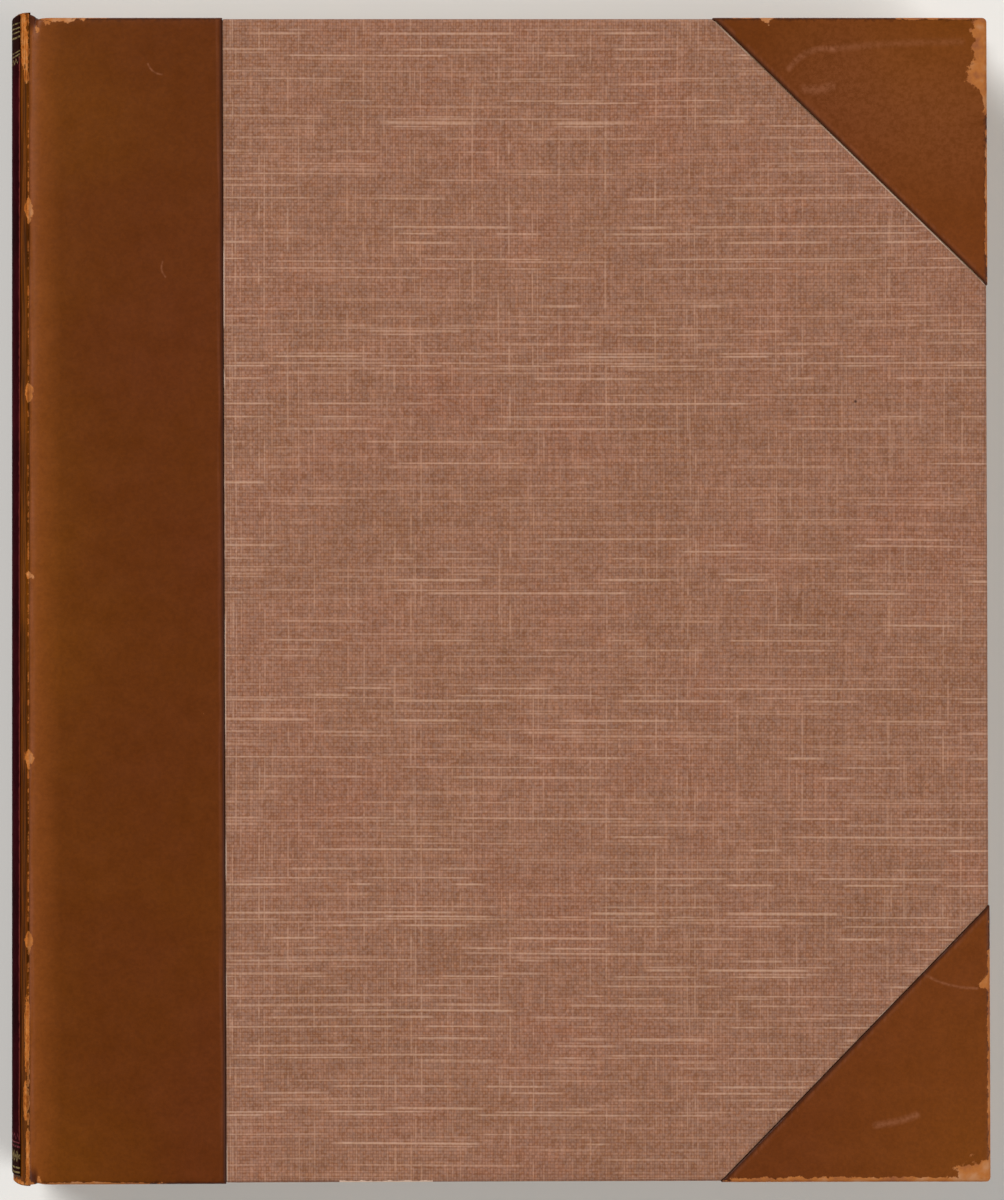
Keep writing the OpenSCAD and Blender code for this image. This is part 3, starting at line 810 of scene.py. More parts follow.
def cloth_material(settings):
    """Linen book cloth in plain weave: soft dull threads, a darker gap at each crossing, and pale slubs."""
    material, tree, coords = new_material("slubbed_book_cloth")
    border = add(tree, "ShaderNodeAttribute", attribute_name="border").outputs["Fac"]
    drift = add(tree, "ShaderNodeTexNoise", {"Vector": coords, "Scale": 14.0, "Detail": 0.0})
    split = add(tree, "ShaderNodeSeparateXYZ", {0: coords})
    threads = {}
    for axis, pitch in (("X", settings.warp_pitch), ("Y", settings.weft_pitch)):
        place = add(
            tree, "ShaderNodeMath", {0: split.outputs[axis], 1: 1 / (pitch * MM)}, operation="MULTIPLY"
        )
        # Threads run nearly straight, and some are thicker than others
        thick = add(
            tree, "ShaderNodeTexNoise", {"W": place, "Scale": 0.6, "Detail": 0.0}, noise_dimensions="1D"
        )
        place = add(tree, "ShaderNodeMath", {0: thick, 1: 0.8, 2: place}, operation="MULTIPLY_ADD")
        place = add(tree, "ShaderNodeMath", {0: drift, 1: 1.6, 2: place}, operation="MULTIPLY_ADD")
        number = add(tree, "ShaderNodeMath", {0: place}, operation="FLOOR")
        turn = add(tree, "ShaderNodeMath", {0: place}, operation="FRACT")
        turn = add(tree, "ShaderNodeMath", {0: turn, 1: math.pi}, operation="MULTIPLY")
        crown = add(tree, "ShaderNodeMath", {0: turn}, operation="SINE")
        own = add(tree, "ShaderNodeTexWhiteNoise", {"W": number}, noise_dimensions="1D")
        threads[axis] = number, crown, own
    number_x, crown_x, own_x = threads["X"]
    number_y, crown_y, own_y = threads["Y"]
    both = add(tree, "ShaderNodeMath", {0: number_x, 1: number_y}, operation="ADD")
    over = add(tree, "ShaderNodeMath", {0: both, 1: 2.0}, operation="FLOORED_MODULO")
    warp_up = add(tree, "ShaderNodeMath", {0: crown_y, 1: 0.5, 2: 0.5}, operation="MULTIPLY_ADD")
    warp_up = add(tree, "ShaderNodeMath", {0: warp_up, 1: crown_x}, operation="MULTIPLY")
    weft_up = add(tree, "ShaderNodeMath", {0: crown_x, 1: 0.5, 2: 0.5}, operation="MULTIPLY_ADD")
    weft_up = add(tree, "ShaderNodeMath", {0: weft_up, 1: crown_y}, operation="MULTIPLY")
    height = add(tree, "ShaderNodeMix", {0: over, 2: weft_up, 3: warp_up}, data_type="FLOAT")

    # Slubs are pale runs of 5 to 30 mm in four wefts of five, and shorter, softer ones in half of the warps.
    # They half hide the threads that cross them, and every thread swells and thins a little. For each kind:
    # noise per metre, the share of threads without slubs, the noise at which a slub starts and is full, and
    # its strength.
    slubs, uneven = [], []
    for number, chance, along, crown, stretch, first, low, high, most in (
        (number_y, own_y, "X", crown_y, 40.0, 0.2, 0.5, 0.56, 0.8),
        (number_x, own_x, "Y", crown_x, 110.0, 0.45, 0.5, 0.6, 0.48),
    ):
        row = add(tree, "ShaderNodeMath", {0: number, 1: 7.31}, operation="MULTIPLY")
        run = add(tree, "ShaderNodeMath", {0: split.outputs[along], 1: stretch}, operation="MULTIPLY")
        spot = add(tree, "ShaderNodeCombineXYZ", {"X": run, "Y": row})
        swell = add(
            tree, "ShaderNodeTexNoise", {"Vector": spot, "Scale": 1.0, "Detail": 1.0}, noise_dimensions="2D"
        )
        uneven.append(add(tree, "ShaderNodeMapRange", {0: swell, 1: 0.3, 2: 0.7, 3: 0.945, 4: 1.045}))
        slub = add(tree, "ShaderNodeMapRange", {0: swell, 1: low, 2: high, 4: most})
        pick = add(tree, "ShaderNodeMapRange", {0: chance, 1: first, 2: 1.0})
        pick = add(tree, "ShaderNodeMath", {0: pick, 1: 1.3}, operation="POWER")
        slub = add(tree, "ShaderNodeMath", {0: slub, 1: pick}, operation="MULTIPLY")
        thin = add(tree, "ShaderNodeMath", {0: crown, 1: 2.2}, operation="POWER")
        slubs.append(add(tree, "ShaderNodeMath", {0: slub, 1: thin}, operation="MULTIPLY"))
    slub = add(tree, "ShaderNodeMath", {0: slubs[0], 1: slubs[1]}, operation="MAXIMUM")

    # The weft is paler than the warp, and no two crossings are alike
    cell = add(tree, "ShaderNodeCombineXYZ", {"X": number_x, "Y": number_y})
    each = add(tree, "ShaderNodeTexWhiteNoise", {"Vector": cell}, noise_dimensions="2D")
    each = add(tree, "ShaderNodeMapRange", {0: each, 3: 0.9, 4: 1.1})
    own = add(tree, "ShaderNodeMix", {0: over, 2: 1.03, 3: 0.97}, data_type="FLOAT")
    for one in [each, *uneven]:
        own = add(tree, "ShaderNodeMath", {0: own, 1: one}, operation="MULTIPLY")
    colour = add(tree, "ShaderNodeMix", {0: height, 6: settings.gap, 7: settings.base}, data_type="RGBA")
    colour = add(tree, "ShaderNodeMix", {0: 1.0, 6: colour, 7: own}, data_type="RGBA", blend_type="MULTIPLY")
    colour = add(tree, "ShaderNodeMix", {0: slub, 6: colour, 7: settings.slub}, data_type="RGBA")

    # Fading and grime in soft blotches, pinkish to olive
    blotch = add(
        tree, "ShaderNodeTexNoise", {"Vector": coords, "Scale": 38.0, "Detail": 3.0, "Roughness": 0.6}
    )
    tint = add(
        tree, "ShaderNodeValToRGB", {0: blotch},
        stops=[(0.33, "#E6DCC4"), (0.5, "#FFFAF2"), (0.68, "#FFE6DC")],
    )
    colour = add(
        tree, "ShaderNodeMix", {0: 0.32, 6: colour, 7: tint}, data_type="RGBA", blend_type="MULTIPLY"
    )
    soot = add(
        tree, "ShaderNodeTexNoise", {"Vector": coords, "Scale": 260.0, "Detail": 1.0, "Roughness": 0.7}
    )
    soot = add(tree, "ShaderNodeMapRange", {0: soot, 1: 0.35, 2: 0.7, 3: 0.95, 4: 1.05})
    colour = add(tree, "ShaderNodeMix", {0: 1.0, 6: colour, 7: soot}, data_type="RGBA", blend_type="MULTIPLY")
    # Fuzz of broken fibres, paler and darker than the threads
    fuzz = add(tree, "ShaderNodeTexNoise", {"Vector": coords, "Scale": 1900.0, "Detail": 0.0})
    fuzz = add(tree, "ShaderNodeMapRange", {0: fuzz, 1: 0.25, 2: 0.75, 3: -0.022, 4: 0.022})
    colour = add(tree, "ShaderNodeMix", {0: 1.0, 6: colour, 7: fuzz}, data_type="RGBA", blend_type="ADD")

    # The cut edge is grimy, and pale in places: partly pale raw fibres, partly a painted highlight where the
    # edge catches the light
    near = add(tree, "ShaderNodeMapRange", {0: border, 1: 0.9, 2: 0.3, 4: 0.3})
    colour = add(tree, "ShaderNodeMix", {0: near, 6: colour, 7: linear("#7A5A44")}, data_type="RGBA")
    cut = add(tree, "ShaderNodeMapRange", {0: border, 1: 0.36, 2: 0.22, 4: 0.6})
    frayed_and_lit = add(tree, "ShaderNodeMapRange", {0: blotch, 1: 0.5, 2: 0.56})
    cut = add(tree, "ShaderNodeMath", {0: cut, 1: frayed_and_lit}, operation="MULTIPLY")
    colour = add(tree, "ShaderNodeMix", {0: cut, 6: colour, 7: linear("#CDB09C")}, data_type="RGBA")

    # A stretch of the front cover's tail edge is frayed to pale threads
    stray = add(tree, "ShaderNodeTexNoise", {"Vector": coords, "Scale": 900.0, "Detail": 1.0})
    stray = add(
        tree, "ShaderNodeMath", {0: stray, 1: 0.7 * MM, 2: split.outputs["Y"]}, operation="MULTIPLY_ADD"
    )
    fray = add(tree, "ShaderNodeMapRange", {0: stray, 1: -126.95 * MM, 2: -127.1 * MM})
    run = add(
        tree, "ShaderNodeMath", {0: split.outputs["X"], 1: -24.0 * MM, 2: 10.2 * MM}, operation="COMPARE"
    )
    on_front = add(tree, "ShaderNodeMath", {0: split.outputs["Z"], 1: MID_Z * MM}, operation="GREATER_THAN")
    for mask in (run, on_front):
        fray = add(tree, "ShaderNodeMath", {0: fray, 1: mask}, operation="MULTIPLY")
    colour = add(tree, "ShaderNodeMix", {0: fray, 6: colour, 7: linear("#E2C2AC")}, data_type="RGBA")
    # One dark speck on the front cover
    speck = add(
        tree, "ShaderNodeVectorMath", {0: coords, 1: (78.5 * MM, 42.8 * MM, TOP * MM)}, operation="DISTANCE"
    )
    speck = add(tree, "ShaderNodeMapRange", {0: speck.outputs["Value"], 1: 0.5 * MM, 2: 0.3 * MM, 4: 0.9})
    colour = add(tree, "ShaderNodeMix", {0: speck, 6: colour, 7: linear("#3A1E14")}, data_type="RGBA")

    inputs = {"Base Color": colour, "Roughness": 0.88, "Specular IOR Level": 0.2, "Sheen Weight": 0.08}
    finish_material(tree, height, 0.35, 0.16, inputs)
    return material


class BOOK_OT_cloth(bpy.types.Operator):
    """Book cloth of both covers"""

    bl_idname = "book.cloth"
    bl_label = "Cloth"

    def execute(self, context):
        material = cloth_material(context.scene.book_cloth)
        strip = (Vector((STRIP_HI.x + SEAM, 0, 0)), Vector((1, 0, 0)))
        corners = []
        for end in ("head", "tail"):
            point, normal = corner_line(end)
            corners.append((point - normal * SEAM, normal))
        borders = [strip] + [(point, -normal) for point, normal in corners]
        vertices, faces = sheet_mesh(CLOTH_DROP, CLOTH, STRIP_HI.x - 2, [strip], corners, 1.6, 3.0)
        for side in ("front", "rear"):
            co, loops = (vertices, faces) if side == "front" else mirrored(vertices, faces)
            dressed(
                f"cloth_{side}", out_of_square(co), loops, material, f"{side}_cover", "book_cloth",
                [f"{side}_cloth"], border=border_distance(co, borders),
            )
        return {"FINISHED"}


# Label


def label_material():
    """Thin dyed maroon goatskin, darkened near black as painted shade for the dim light on the spine, with
    worn gilt rules and small tooled figures at its ends.
    """
    material, tree, coords = new_material("maroon_goatskin_label")
    split = add(tree, "ShaderNodeSeparateXYZ", {0: coords})
    worn_and_lit_edge = add(tree, "ShaderNodeAttribute", attribute_name="rub").outputs["Fac"]
    fine = add(
        tree, "ShaderNodeTexNoise", {"Vector": coords, "Scale": 700.0, "Detail": 5.0, "Roughness": 0.7}
    )
    cloud = add(tree, "ShaderNodeTexNoise", {"Vector": coords, "Scale": 70.0, "Detail": 4.0})
    grain = add(tree, "ShaderNodeTexVoronoi", {"Vector": coords, "Scale": 1100.0})
    # Painted shade: the maroon is darkened near black
    colour = add(
        tree, "ShaderNodeValToRGB", {0: cloud},
        stops=[(0.3, "#180104"), (0.52, "#260207"), (0.75, "#34050C")],
    )
    tone = add(tree, "ShaderNodeMapRange", {0: fine, 1: 0.3, 2: 0.7, 3: 0.75, 4: 1.2})
    colour = add(tree, "ShaderNodeMix", {0: 1.0, 6: colour, 7: tone}, data_type="RGBA", blend_type="MULTIPLY")
    # Both ends are darkened to a near-black brown
    from_mid = from_middle(tree, split)
    ends = add(tree, "ShaderNodeMapRange", {0: from_mid, 1: 0.1185, 2: 0.1195, 4: 0.85})
    colour = add(tree, "ShaderNodeMix", {0: ends, 6: colour, 7: linear("#200C08")}, data_type="RGBA")

    # Distance round the spine, for figures that repeat across the label
    rise = add(tree, "ShaderNodeMath", {0: split.outputs["Z"], 1: -MID_Z * MM}, operation="ADD")
    run = add(tree, "ShaderNodeMath", {0: BACK_X * MM, 1: split.outputs["X"]}, operation="SUBTRACT")
    angle = add(tree, "ShaderNodeMath", {0: rise, 1: run}, operation="ARCTAN2")
    round_way = add(tree, "ShaderNodeMath", {0: angle, 1: SPINE_R}, operation="MULTIPLY")
    along = add(tree, "ShaderNodeMath", {0: split.outputs["Y"], 1: 1 / MM}, operation="MULTIPLY")
    # Tooled by hand, so no rule is quite straight
    unsteady = add(tree, "ShaderNodeTexNoise", {"Vector": coords, "Scale": 120.0, "Detail": 0.0})
    along = add(tree, "ShaderNodeMath", {0: unsteady, 1: 0.9, 2: along}, operation="MULTIPLY_ADD")
    # Rules by their place along the label and half-width, in mm
    rules = [(126.5, 0.13), (125.5, 0.14), (124.6, 0.14), (123.5, 0.2), (120.2, 0.14), (119.4, 0.18)]
    rules += [(-119.0, 0.14), (-119.9, 0.2), (-124.6, 0.18), (-125.6, 0.18), (-126.4, 0.13)]
    marks = [(along, place, half) for place, half in rules]
    # A zigzag inside the rules at each end, and a row of lozenges between them at the tail
    zigzag = add(tree, "ShaderNodeMath", {0: round_way, 1: 1.2}, operation="PINGPONG")
    for place, sign in ((118.8, -1.0), (-118.3, 1.0)):
        wave = add(tree, "ShaderNodeMath", {0: zigzag, 1: sign, 2: place}, operation="MULTIPLY_ADD")
        marks.append((along, wave, 0.18))
    lozenge = add(tree, "ShaderNodeMath", {0: round_way, 1: 1.3}, operation="PINGPONG")
    gap = add(tree, "ShaderNodeMath", {0: along, 1: -122.1}, operation="SUBTRACT")
    gap = add(tree, "ShaderNodeMath", {0: gap}, operation="ABSOLUTE")
    gap = add(tree, "ShaderNodeMath", {0: gap, 1: lozenge}, operation="ADD")
    marks += [(gap, ring, 0.24) for ring in (0.3, 1.15)]
    gilt = 0.0
    for where, place, half in marks:
        mark = add(tree, "ShaderNodeMath", {0: where, 1: place, 2: half}, operation="COMPARE")
        gilt = add(tree, "ShaderNodeMath", {0: mark, 1: gilt}, operation="MAXIMUM")
    left = add(tree, "ShaderNodeMapRange", {0: fine, 1: 0.38, 2: 0.55, 3: 0.1, 4: 0.85})
    gilt = add(tree, "ShaderNodeMath", {0: gilt, 1: left}, operation="MULTIPLY")
    # Most of the gold has gone from the inner lines at the tail, which show reddish
    redder = add(tree, "ShaderNodeMapRange", {0: along, 1: -121.0, 2: -120.4})
    on_tail = add(tree, "ShaderNodeMath", {0: along, 1: 0.0}, operation="LESS_THAN")
    redder = add(tree, "ShaderNodeMath", {0: redder, 1: on_tail}, operation="MULTIPLY")
    line = add(
        tree, "ShaderNodeMix", {0: redder, 6: linear("#8A7648"), 7: linear("#74262E")}, data_type="RGBA"
    )
    colour = add(tree, "ShaderNodeMix", {0: gilt, 6: colour, 7: line}, data_type="RGBA")
    # Rubbed edges show reddish bare leather, which along the lifted long edges is also a painted highlight
    bare = add(tree, "ShaderNodeMath", {0: fine, 1: 1.3, 2: worn_and_lit_edge}, operation="MULTIPLY_ADD")
    bare = add(tree, "ShaderNodeMapRange", {0: bare, 1: 1.3, 2: 1.5, 4: 0.8})
    bare = add(tree, "ShaderNodeMath", {0: bare, 1: ends}, operation="SUBTRACT", use_clamp=True)
    colour = add(tree, "ShaderNodeMix", {0: bare, 6: colour, 7: linear("#74342A")}, data_type="RGBA")
    metal = add(tree, "ShaderNodeMath", {0: gilt, 1: 0.6}, operation="MULTIPLY")
    height = add(tree, "ShaderNodeMath", {0: grain, 1: 0.6, 2: fine}, operation="MULTIPLY_ADD")
    inputs = {"Base Color": colour, "Roughness": 0.6, "Metallic": metal, "Specular IOR Level": 0.002}
    finish_material(tree, height, 0.5, 0.1, inputs)
    return material


def label_mesh():
    """Thin strip round the middle of the spine, closed, and how worn each of its points is."""
    inner = SPINE_R + 0.05
    thick = BACK_X - LABEL_LO.x - inner
    reach = math.asin((LABEL_HI.z - MID_Z) / (inner + thick))
    angles = np.concatenate([[-1, -0.985], np.linspace(-0.96, 0.96, 25), [0.985, 1]]) * reach
    # It laps onto both caps
    tail, head = LABEL_LO.y - 0.5, LABEL_HI.y + 1.9
    ys = sorted([tail, tail + 0.3, head - 0.3, head] + list(np.arange(tail + 1.2, head - 1, 1.5)))
    vertices, rub = [], []
    for layer in (0, 1):
        for y in ys:
            for a in angles:
                # The edges lift a little all along, and more near the tail of the front side
                edge = smooth((abs(a) / reach - 0.86) / 0.14)
                wave = 0.5 + 0.5 * noise.noise((y * 0.12, math.copysign(3, a), 0.5))
                curl = 0.1 + 0.16 * math.exp(-(((y + 112) / 5) ** 2)) * (a > 0)
                r = inner + edge * wave * curl + layer * thick
                if layer and (abs(abs(a) - reach) < 1e-6 or y in (ys[0], ys[-1])):
                    r -= thick * 0.35
                vertices.append((BACK_X - r * math.cos(a), y, MID_Z + r * math.sin(a)))
                end_gap = min(y - ys[0], ys[-1] - y)
                # All its edges are rubbed, and so is the front side of its tail end; along the lifted edges
                # the rubbed colour is also a painted highlight
                worn = 1.0 - min((reach - abs(a)) * inner / 0.9, end_gap / 0.8)
                if a > 0.1 and y < -124.6:
                    worn = max(worn, 0.75)
                rub.append(min(max(worn, 0.0), 1.0))
    n, m = len(angles), len(ys)
    rows = n * m
    faces = []
    for j in range(m - 1):
        for i in range(n - 1):
            a = j * n + i
            faces.append((a, a + 1, a + n + 1, a + n))
            faces.append((rows + a, rows + a + n, rows + a + n + 1, rows + a + 1))
    rim = list(range(n)) + [j * n + n - 1 for j in range(1, m)]
    rim += [(m - 1) * n + i for i in range(n - 2, -1, -1)] + [j * n for j in range(m - 2, 0, -1)]
    for a, b in zip(rim, rim[1:] + rim[:1]):
        faces.append((b, a, rows + a, rows + b))
    return vertices, facing_out(vertices, faces), rub


class BOOK_OT_label(bpy.types.Operator):
    """Maroon label on the spine, its long edges lifting"""

    bl_idname = "book.label"
    bl_label = "Label"

    def execute(self, context):
        vertices, faces, rub = label_mesh()
        dressed(
            "label_maroon", vertices, faces, label_material(), "leaves", "maroon_leather", ["spine_label"],
            rub=rub,
        )
        return {"FINISHED"}


# Leaves and end bands


def geometry_tree(name, inputs):
    """Empty Geometry Nodes tree with the named inputs, and the sockets they give."""
    tree = bpy.data.node_groups.new(name, "GeometryNodeTree")
    for label, kind in inputs:
        tree.interface.new_socket(label, in_out="INPUT", socket_type=f"NodeSocket{kind}")
    tree.interface.new_socket("Geometry", in_out="OUTPUT", socket_type="NodeSocketGeometry")
    return tree, add(tree, "NodeGroupInput").outputs


def grown(name, tree, **values):
    """Plain mesh object from a tree. Values are its inputs by name, with _ for a space."""
    carrier = bpy.data.objects.new(name, bpy.data.meshes.new(name))
    bpy.context.scene.collection.objects.link(carrier)
    modifier = carrier.modifiers.new(name, "NODES")
    modifier.node_group = tree
    for item in tree.interface.items_tree:
        key = item.name.replace(" ", "_")
        if item.in_out == "INPUT" and key in values:
            modifier[item.identifier] = values[key]
    shown = carrier.evaluated_get(bpy.context.evaluated_depsgraph_get())
    mesh = bpy.data.meshes.new_from_object(shown)
    carrier.modifiers.remove(modifier)
    carrier.data = mesh
    mesh.name = name
    if not mesh.polygons:
        raise RuntimeError(f"{name}: its tree made no faces")
    return carrier


def leaves_tree():
    """Thin slabs side by side: flat between the covers, fanned at the shoulders, hollow at the fore-edge."""
    tree, given = geometry_tree(
        "Leaves",
        [("Slabs", "Int"), ("Height", "Float"), ("Ragged", "Float"), ("Seed", "Int"), ("Paper", "Material")],
    )
    shoulder = box("front_flyleaf")[0].x
    rise = shoulder - BLOCK_LO.x
    # Half the thickness between the covers, what a shoulder adds, the fore-edge's hollow, and the cockling
    flat_half = 11.0
    fan = (BLOCK_HI.z - MID_Z) - flat_half
    hollow = 1.8
    cockled = 1.4
    # The slabs are stacked from -1 to 1, each a little thinner than its place
    first, thin = -0.987, 1.86
    line = add(
        tree, "GeometryNodeMeshLine",
        {"Count": given["Slabs"], "Start Location": (0, 0, first), "Offset": (0, 0, -first)},
        mode="END_POINTS",
    )
    slab_height = add(tree, "ShaderNodeMath", {0: thin, 1: given["Slabs"]}, operation="DIVIDE")
    size = add(tree, "ShaderNodeCombineXYZ", {"X": 1.0, "Y": given["Height"], "Z": slab_height})
    slab = add(
        tree, "GeometryNodeMeshCube", {"Size": size, "Vertices X": 15, "Vertices Y": 7, "Vertices Z": 2}
    )
    slabs = add(tree, "GeometryNodeInstanceOnPoints", {"Points": line, "Instance": slab})
    own = add(tree, "FunctionNodeRandomValue", {"Seed": given["Seed"]}, data_type="FLOAT")
    slabs = add(
        tree, "GeometryNodeStoreNamedAttribute", {"Geometry": slabs, "Name": "leaf", "Value": own.outputs[1]},
        domain="INSTANCE", data_type="FLOAT",
    )
    slabs = add(tree, "GeometryNodeRealizeInstances", {0: slabs})
    leaf = add(tree, "GeometryNodeInputNamedAttribute", {"Name": "leaf"}, data_type="FLOAT")
    place = add(tree, "GeometryNodeInputPosition")
    split = add(tree, "ShaderNodeSeparateXYZ", {0: place})
    u, y, q = split.outputs
    # Fanned grows from the shoulder back to the spine, and ahead grows from the shoulder to the fore-edge
    fanned = add(tree, "ShaderNodeMapRange", {0: u, 1: -0.15, 2: -0.5})
    ahead = add(tree, "ShaderNodeMapRange", {0: u, 1: -0.15, 2: 0.5})
    square = add(tree, "ShaderNodeMath", {0: q, 1: q}, operation="MULTIPLY")
    inner = add(tree, "ShaderNodeMath", {0: 1.0, 1: square}, operation="SUBTRACT")
    # Back: the slabs reach further out in the middle, as the block is rounded
    reach = add(tree, "ShaderNodeMath", {0: fanned, 1: inner}, operation="MULTIPLY")
    x = add(tree, "ShaderNodeMath", {0: reach, 1: -rise, 2: shoulder}, operation="MULTIPLY_ADD")
    front = add(
        tree, "ShaderNodeMath", {0: inner, 1: -hollow, 2: BLOCK_HI.x - shoulder}, operation="MULTIPLY_ADD"
    )
    stray = add(tree, "ShaderNodeMapRange", {0: leaf, 3: -1.0, 4: 0.0})
    stray = add(tree, "ShaderNodeMath", {0: stray, 1: given["Ragged"]}, operation="MULTIPLY")
    front = add(tree, "ShaderNodeMath", {0: front, 1: stray}, operation="ADD")
    x = add(tree, "ShaderNodeMath", {0: ahead, 1: front, 2: x}, operation="MULTIPLY_ADD")
    # Ends: slabs are cut short by up to an eighth of a millimetre
    trim = add(tree, "ShaderNodeMath", {0: stray, 1: 0.006, 2: 1.0}, operation="MULTIPLY_ADD")
    y = add(tree, "ShaderNodeMath", {0: y, 1: trim, 2: MID_Y}, operation="MULTIPLY_ADD")
    half = add(tree, "ShaderNodeMath", {0: fanned, 1: fan, 2: flat_half}, operation="MULTIPLY_ADD")
    z = add(tree, "ShaderNodeMath", {0: q, 1: half, 2: MID_Z}, operation="MULTIPLY_ADD")
    spot = add(tree, "ShaderNodeCombineXYZ", {"X": ahead, "Y": y})
    cockle = add(tree, "ShaderNodeTexNoise", {"Vector": spot, "Scale": 0.06, "Detail": 1.0})
    cockle = add(tree, "ShaderNodeMath", {0: cockle, 1: -0.5}, operation="ADD")
    cockle = add(tree, "ShaderNodeMath", {0: cockle, 1: inner}, operation="MULTIPLY")
    z = add(tree, "ShaderNodeMath", {0: cockle, 1: cockled, 2: z}, operation="MULTIPLY_ADD")
    place = add(tree, "ShaderNodeCombineXYZ", {"X": x, "Y": y, "Z": z})
    place = add(tree, "ShaderNodeVectorMath", {0: place, "Scale": MM}, operation="SCALE")
    moved = add(tree, "GeometryNodeSetPosition", {"Geometry": slabs, "Position": place})
    done = add(tree, "GeometryNodeSetMaterial", {"Geometry": moved, "Material": given["Paper"]})
    add(tree, "NodeGroupOutput", {0: done})
    return tree


def paper_material(name, tone, edge_lines=False, shift=0.0):
    """Aged rag paper: warm, uneven, brown at its edges and foxed; edge-on, fine lines of single leaves.

    Shift takes the stains from another level, so that facing sheets aren't stained alike.
    """
    material, tree, coords = new_material(name)
    split = add(tree, "ShaderNodeSeparateXYZ", {0: coords})
    coords = add(tree, "ShaderNodeVectorMath", {0: coords, 1: (0, 0, shift)}, operation="ADD")
    cloud = add(
        tree, "ShaderNodeTexNoise", {"Vector": coords, "Scale": 14.0, "Detail": 5.0, "Roughness": 0.6}
    )
    colour = add(
        tree, "ShaderNodeValToRGB", {0: cloud}, stops=[(0.3, "#C9B287"), (0.5, tone), (0.7, "#E6D8B8")]
    )
    from_mid = from_middle(tree, split)
    ends = add(tree, "ShaderNodeMapRange", {0: from_mid, 1: 0.1, 2: 0.124})
    fore = add(tree, "ShaderNodeMapRange", {0: split.outputs["X"], 1: 0.085, 2: 0.105})
    near = add(tree, "ShaderNodeMath", {0: ends, 1: fore}, operation="MAXIMUM")
    near = add(tree, "ShaderNodeMath", {0: near, 1: cloud}, operation="MULTIPLY")
    colour = add(tree, "ShaderNodeMix", {0: near, 6: colour, 7: linear("#8E6A3E")}, data_type="RGBA")
    # Foxing: rusty specks of 1 to 3 mm, sparse
    fox = add(tree, "ShaderNodeTexNoise", {"Vector": coords, "Scale": 330.0, "Detail": 3.0})
    spread = add(tree, "ShaderNodeTexNoise", {"Vector": coords, "Scale": 30.0})
    fox = add(tree, "ShaderNodeMath", {0: spread, 1: 0.6, 2: fox}, operation="MULTIPLY_ADD")
    fox = add(tree, "ShaderNodeMapRange", {0: fox, 1: 1.02, 2: 1.16, 4: 0.55})
    colour = add(tree, "ShaderNodeMix", {0: fox, 6: colour, 7: linear("#9A6A3A")}, data_type="RGBA")
    fibre = add(tree, "ShaderNodeTexNoise", {"Vector": coords, "Scale": 1200.0, "Detail": 4.0})
    height = fibre
    if edge_lines:
        # Leaves are 0.1 mm thick and don't show one by one, so their edges are drawn about 0.4 mm apart
        flat = add(tree, "ShaderNodeVectorMath", {0: coords, 1: (0.02, 0.02, 1)}, operation="MULTIPLY")
        lines = add(
            tree, "ShaderNodeTexNoise", {"Vector": flat, "Scale": 2300.0, "Detail": 3.0, "Roughness": 0.7}
        )
        shade = add(
            tree, "ShaderNodeValToRGB", {0: lines},
            stops=[(0.32, "#98805E"), (0.48, "#DCC6A2"), (0.64, "#FFF6E6")],
        )
        colour = add(
            tree, "ShaderNodeMix", {0: 1.0, 6: colour, 7: shade}, data_type="RGBA", blend_type="MULTIPLY"
        )
        height = add(tree, "ShaderNodeMath", {0: lines, 1: 3.0, 2: fibre}, operation="MULTIPLY_ADD")
    inputs = {"Base Color": colour, "Roughness": 0.92, "Specular IOR Level": 0.15}
    finish_material(tree, height, 0.35, 0.1, inputs)
    return material


class BOOK_OT_leaves(bpy.types.Operator):
    """Leaves, endpapers and pastedowns"""

    bl_idname = "book.leaves"
    bl_label = "Leaves"

    def execute(self, context):
        settings = context.scene.book_leaves
        edges = paper_material("aged_leaf_edges", settings.paper, edge_lines=True)
        flyleaf = paper_material("aged_flyleaf", settings.paper)
        pastedown = paper_material("aged_pastedown", settings.paper, shift=0.05)
        height = BLOCK_HI.y - BLOCK_LO.y
        block = grown(
            "leaves_block", leaves_tree(), Slabs=settings.gatherings, Height=height, Ragged=settings.ragged,
            Seed=5, Paper=edges,
        )
        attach(block, "leaves")
        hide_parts("text_block")
        for side in ("front", "rear"):
            finish_node(f"{side}_flyleaf", flyleaf)
            finish_node(f"{side}_pastedown", pastedown)
        return {"FINISHED"}


def finish_node(node, material):
    """Gives a CAD node that stays its finish."""
    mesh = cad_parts[node].data
    mesh.materials.clear()
    mesh.materials.append(material)


